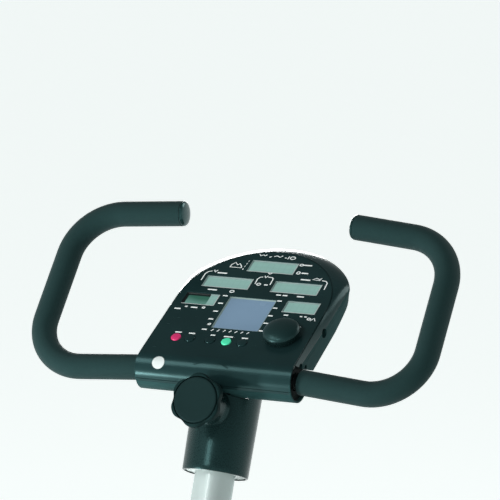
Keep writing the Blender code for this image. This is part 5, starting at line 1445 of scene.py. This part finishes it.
def studs(places, height, radius):    # small grip teeth, above and below
    pick()
    for k, (x, z, up) in enumerate([(x, z, up) for x, z in places for up in (1, -1)]):
        bpy.ops.mesh.primitive_cone_add(vertices=4, radius1=radius, radius2=radius * 0.3, depth=0.0024,
                                        location=(x, up * height, z), rotation=(radians(-90 * up), 0, 0))
        if k == 0:
            bpy.ops.object.transform_apply(location=True, rotation=True, scale=True)
            edit()
    return done()


def pedals():
    wide, long, thick = drive["pedalWide"], drive["pedalLong"], drive["pedalThick"]
    for name, side in sides:
        body = block((long, thick, wide), (0, 0, 0), 0.004, 4)
        window = (drive["windowLong"], 0.04, drive["windowWide"])
        for end in (-1, 1):
            cut(body, block(window, (end * drive["windowPlace"], 0, 0), 0.003))
        for end in (-1, 1):    # a shallow pocket in each long edge
            cut(body, block(drive["edgePocket"], (end * long / 2, 0, 0), 0.0015, 2))
        depth = wide / 2 - 0.008 + 0.0006
        low, high = sorted((side * (-wide / 2 - 0.001), side * depth))
        cut(body, pin(drive["shaftRadius"] + 0.0006, low, high, 48))
        low, high = sorted((side * (-wide / 2 - 0.001), side * (0.0012 - wide / 2)))
        cut(body, pin(0.0095, low, high, 48))
        places = [(x, drive["studPitch"] * (k - 4)) for x in drive["studRows"] for k in range(9)]
        cut(body, studs(places, thick / 2, 0.0022), "UNION")
        tip = crankTip(side)
        spot = sideways(side * drive["pedalMiddle"], bracket.y + tip[0], bracket.z + tip[1])
        rider = name.lower() + "_pedal"
        fit(body, "pedal" + name, "smooth", rider, "black_plastic", "pedal_" + name.lower(), place=spot,
            sharp=30)
        rows = []
        for grow in (0.0, drive["strapWall"]):
            half, low, top = drive["strapHalf"] + grow, drive["strapLow"] - grow, drive["strapTop"]
            line = [(-half, low + 0.002), (-half, top)]
            line += [(half * cos(t), top + (drive["arch"] + grow) * sin(t))
                     for t in [pi * (1 - k / 40) for k in range(1, 40)]]
            line += [(half, top), (half, low + 0.002), (half - 0.002, low), (0.002 - half, low)]
            rows.append(line)
        strap = plate(rows[1], -drive["strapWide"] / 2, drive["strapWide"] / 2)
        cut(strap, plate(rows[0], -0.05, 0.05))
        soften(strap, 0.0006, 2, 50)
        for k in range(drive["strapHoles"]):
            turn = radians(62 - drive["holeTurn"] * k)
            flat, high = drive["strapHalf"], drive["arch"]
            reach = at(flat * cos(turn), drive["strapTop"] + high * sin(turn))
            aim = aimed((cos(turn) / flat, sin(turn) / high, 0))
            cut(strap, put(pin(0.0021, -0.006, 0.006, 20), reach @ aim))
        for end in (-1, 1):    # the knob that the end of the strap buttons on to
            button = lathe([(0.0036, -0.0004), (0.0036, 0.0006), (0.0046, 0.0010), (0.0042, 0.0022),
                            (0.0010, 0.0026)], 32)
            reach = at(end * (drive["strapHalf"] + drive["strapWall"]), 0.004)
            cut(strap, put(button, reach @ aimed((end, 0, 0))), "UNION")
        upright = Matrix(((0, 0, 1, 0), (0, 1, 0, 0), (-1, 0, 0, 0), (0, 0, 0, 1)))
        fit(strap, "pedalStrap" + name, "rubber", rider, "rubber", "pedal_strap_" + name.lower(),
            place=spot @ at(drive["strapPlace"], 0) @ upright, sharp=35)


cranks()
pedals()
print("cranks and pedals made")


# Seat tube, post and its clamp knob

mast = {
    "tubeRadius": 0.025, "wall": 0.0025, "low": -0.050, "high": 0.340, "postRadius": 0.019,
    "postLow": 0.170, "postTop": 0.565, "lug": (0.020, 0.026, 0.030), "marks": 15, "markStep": 0.010,
    "markFirst": 0.352, "knobLobes": 8,
}


def seatMast():
    made = tube(mast["tubeRadius"], mast["wall"], mast["low"], mast["high"])
    cut(made, put(pin(0.0056, 0.015, 0.028), seatPlace.inverted() @ seatKnobPlace))
    fit(made, "seatTube", "silver", "stand", "silver_paint", "seat_tube", place=seatPlace)
    top, lip, bore = mast["high"] + 0.0003, mast["tubeRadius"], mast["postRadius"] + 0.0006
    outer = lip - mast["wall"] - 0.0003
    bush = lathe([(lip - 0.0004, top), (lip, top + 0.0006), (lip, top + 0.0040), (lip - 0.0008, top + 0.0055),
                  (lip - 0.0022, top + 0.0060), (bore + 0.0006, top + 0.0060), (bore, top + 0.0054),
                  (bore, top - 0.090), (outer, top - 0.090), (outer, top)], 96, ring=True)
    cut(bush, put(pin(0.0056, 0.015, 0.028), seatPlace.inverted() @ seatKnobPlace))
    fit(bush, "seatBush", "smooth", "stand", "black_plastic", "seat_bush", place=seatPlace)

    radius, low, high = mast["postRadius"], mast["postLow"], mast["postTop"]
    post = lathe([(radius - 0.001, low), (radius, low + 0.001), (radius, high - 0.0015),
                  (radius - 0.0015, high)], 96)
    wide, deep, tall = mast["lug"]
    cut(post, block((wide, deep, tall), (0, 0, high + tall / 2 - 0.004), 0.002, 3), "UNION")
    cut(post, put(pin(0.0046, -0.02, 0.02), seatPlace.inverted() @ saddlePlace @ sideView))
    fit(post, "seatPost", "chrome", "seat_mast", "steel", "seat_post", place=seatPlace, sharp=30)
    marks = []
    for k in range(mast["marks"]):
        z = mast["markFirst"] + k * mast["markStep"]
        reach = 26 if k % 5 == 0 else 14    # degrees round the post, every fifth mark is longer
        line = [(radius * sin(radians(a)), -radius * cos(radians(a)), z) for a in range(-reach, reach + 1, 4)]
        marks.append(bar(line, 0.00028, 1))
    pick(*marks)
    bpy.ops.object.join()
    fit(bpy.context.object, "heightMarks", "ink", "seat_mast", "steel", place=seatPlace)

    heights = ((0.0290, 0.58), (0.0330, 0.60), (0.0355, 0.66), (0.0400, 0.88), (0.0430, 0.98), (0.0455, 1.0),
               (0.0525, 1.0), (0.0550, 0.97), (0.0572, 0.88), (0.0585, 0.74), (0.0590, 0.55), (0.0590, 0.05))
    rings = []
    for z, scale in heights:
        lobe = 0.0016 if scale > 0.95 else 0.0016 * max(0.0, scale - 0.6) / 0.4
        rings.append(lobedRing(0.018, lobe, mast["knobLobes"], z, scale))
    knob = loft(rings)
    cut(knob, pin(0.0050, 0.0193, 0.0300), "UNION")
    fit(knob, "seatKnob", "knob", "seat_clamp_knob", "black_plastic", "seat_knob", place=seatKnobPlace,
        sharp=35)


seatMast()
print("seat mast made")


# Saddle: clamp, rails, base and padded top, level on the pivot

saddle = {
    "long": 0.272, "backHalf": 0.123, "noseHalf": 0.031, "waist": 0.52, "waistRate": 11.0, "shift": 0.012,
    "kick": 0.010, "baseLow": 0.048, "baseHigh": 0.058, "baseShrink": 0.006, "padLow": 0.0583,
    "padHigh": 0.1043, "crown": 0.026, "swell": 0.0050, "swellCap": 0.0060, "voxel": 0.0045,
    "cloth": {"quality": 6, "mass": 0.3, "tension_stiffness": 20, "compression_stiffness": 20,
              "use_pressure": True, "uniform_pressure_force": 4.0},
    "basePockets": (               # middle across, middle along, width, length
        (0.060, -0.070, 0.050, 0.060), (-0.060, -0.070, 0.050, 0.060), (0.0, -0.060, 0.024, 0.060),
        (0.044, -0.008, 0.018, 0.040), (-0.044, -0.008, 0.018, 0.040), (0.0, 0.030, 0.022, 0.060),
    ),
    "clampScrews": ((-0.008, -0.012), (0.008, -0.012), (-0.008, 0.012), (0.008, 0.012)),
    "railRadius": 0.0035, "railHeight": 0.0325, "railHalf": 0.020,
}


def saddleLine(t, shrink, low, high, crown):    # one cross section, 0 at the back and 1 at the nose
    mix = 1 / (1 + exp(-(t - saddle["waist"]) * saddle["waistRate"]))
    wide = saddle["backHalf"] * (1 - mix) + saddle["noseHalf"] * mix
    ends = sqrt(max(0.0, 1 - (2 * t - 1) ** 8))
    half = (wide - shrink) * (0.35 + 0.65 * ends)
    y = saddle["long"] * (t - 0.5) * (1 - 2 * shrink / saddle["long"]) + saddle["shift"]
    kick = saddle["kick"] * (1 - t) ** 3 if crown else 0.0
    line, across = [], 28
    for j in range(across + 1):
        u = sin((j / across - 0.5) * pi)
        rise = crown * (1 - abs(u) ** 2.6) * (0.55 + 0.45 * ends)
        line.append((half * u, y, high - crown + rise + kick))
    for j in range(across - 1, 0, -1):
        u = 2 * j / across - 1
        line.append((half * 0.94 * u, y, low))
    return line


def saddleSteps(count):    # closer together at the two ends
    return [0.5 - 0.5 * cos(pi * i / count) for i in range(count + 1)]


def smoothPath(points):    # three rounds of corner cutting
    for _ in range(3):
        finer = [points[0]]
        for a, b in zip(points, points[1:]):
            finer += [tuple(p * 0.75 + q * 0.25 for p, q in zip(a, b)),
                      tuple(p * 0.25 + q * 0.75 for p, q in zip(a, b))]
        points = finer + [points[-1]]
    return points


def saddleFrame():
    clamp = block((0.056, 0.036, 0.014), (0, 0, 0.029), 0.0025, 3)
    cut(clamp, block((0.060, 0.040, 0.0008), (0, 0, 0.0325)))
    for side in (-1, 1):
        cut(clamp, block((0.007, 0.020, 0.032), (side * 0.0141, 0, 0.008), 0.0015, 2), "UNION")
        rail = at(side * saddle["railHalf"], 0, saddle["railHeight"]) @ quarterTurn
        cut(clamp, put(pin(0.0038, -0.03, 0.03), rail))
    cut(clamp, put(pin(0.0040, -0.0226, 0.0226), sideView), "UNION")
    fit(clamp, "saddleClamp", "steel", "saddle", "steel", "saddle_clamp", place=saddlePlace, sharp=30)
    for name, side in sides:
        nut = put(hexHead(0.0072, 0.0046, 0.0086), at(side * 0.0177, 0) @ sideView @ facing(side))
        fit(nut, "clampNut" + name, "chrome", "saddle", "steel", place=saddlePlace)
    for k, (x, y) in enumerate(saddle["clampScrews"]):
        screw = put(lathe([(0.0030, 0.0), (0.0034, 0.0006), (0.0034, 0.0024), (0.0028, 0.0030)], 32),
                    at(x, y, 0.0360))
        cut(screw, block((0.0004, 0.008, 0.0016), (x, y, 0.0390)))
        fit(screw, "clampScrew%d" % (k + 1), "chrome", "saddle", "steel", place=saddlePlace)

    half, height = saddle["railHalf"], saddle["railHeight"]
    climb = height + saddle["railRadius"] + 0.012 - 0.0003
    nose = climb - saddle["railRadius"]
    right = [(half, -0.090, climb), (half, -0.090, height + 0.008), (half, -0.080, height),
             (half, 0.056, height), (half * 0.95, 0.068, height + 0.004),
             (half * 0.75, 0.078, height + 0.009), (half * 0.35, 0.084, nose)]
    rails = bar(smoothPath(right + [(-x, y, z) for x, y, z in reversed(right)]), saddle["railRadius"], 6)
    fit(rails, "saddleRails", "chrome", "saddle", "steel", "saddle_rails", place=saddlePlace, sharp=50)

    low, high, shrink = saddle["baseLow"], saddle["baseHigh"], saddle["baseShrink"]
    shell = loft([saddleLine(t, shrink, low, high, 0.0) for t in saddleSteps(30)])
    soften(shell, 0.0018, 3, 50)
    for x, y, wide, long in saddle["basePockets"]:
        cut(shell, block((wide, long, 0.012), (x, y, low), 0.003, 3))
    fit(shell, "saddleBase", "smooth", "saddle", "black_plastic", "saddle_base", place=saddlePlace, sharp=30)


def saddlePad():
    low, high, swell = saddle["padLow"], saddle["padHigh"], saddle["swell"]
    pad = loft([saddleLine(t, swell * 0.8, low, high - swell * 0.7, saddle["crown"])
                for t in saddleSteps(44)])
    modify(pad, "REMESH", mode="VOXEL", voxel_size=saddle["voxel"])
    start = [point.co.copy() for point in pad.data.vertices]
    pick(pad)
    held = pad.vertex_groups.new(name="held")
    held.add([i for i, point in enumerate(start) if point.z < low + 0.005], 1.0, "REPLACE")
    cloth = pad.modifiers.new("cloth", "CLOTH")
    for name, value in saddle["cloth"].items():
        setattr(cloth.settings, name, value)
    cloth.settings.effector_weights.gravity = 0.0
    cloth.settings.vertex_group_mass = "held"
    cloth.point_cache.frame_start = 1
    cloth.point_cache.frame_end = 20
    for step in range(1, 21):
        bpy.context.scene.frame_set(step)
    pick(pad)
    bpy.ops.object.modifier_apply(modifier="cloth")
    bpy.context.scene.frame_set(1)
    pad.vertex_groups.clear()
    cap = saddle["swellCap"]
    for point, before in zip(pad.data.vertices, start):
        move = point.co - before
        if move.length > cap:
            move = move * (cap / move.length)
        place = before + move
        place.z = min(max(place.z, low), high + saddle["kick"])
        point.co = place
    modify(pad, "SMOOTH", iterations=2, factor=0.5)
    modify(pad, "SUBSURF", levels=1, render_levels=1)
    print("saddle pad:", len(pad.data.vertices), "points")
    fit(pad, "saddlePad", "vinyl", "saddle", "saddle_cover", "saddle_pad", place=saddlePlace, sharp=60)


saddleFrame()
saddlePad()
print("saddle made")


# CAD pieces that stay as they are, with finished materials

keptFinishes = {
    "frame_plates": "silver", "crank_bearing": "chrome", "flywheel_bearing_left": "chrome",
    "flywheel_bearing_right": "chrome", "brake_coil": "copper", "drive_belt": "belt",
    "drive_pulley": "smooth", "flywheel": "iron", "flywheel_axle": "steel", "handlebar": "chrome",
    "head_block": "iron",
}
for nodeName, finishName in keptFinishes.items():
    kept = bpy.data.objects[nodeName]
    for holder in kept.material_slots:
        holder.material = finishes[finishName]
print("kept pieces finished:", len(keptFinishes))
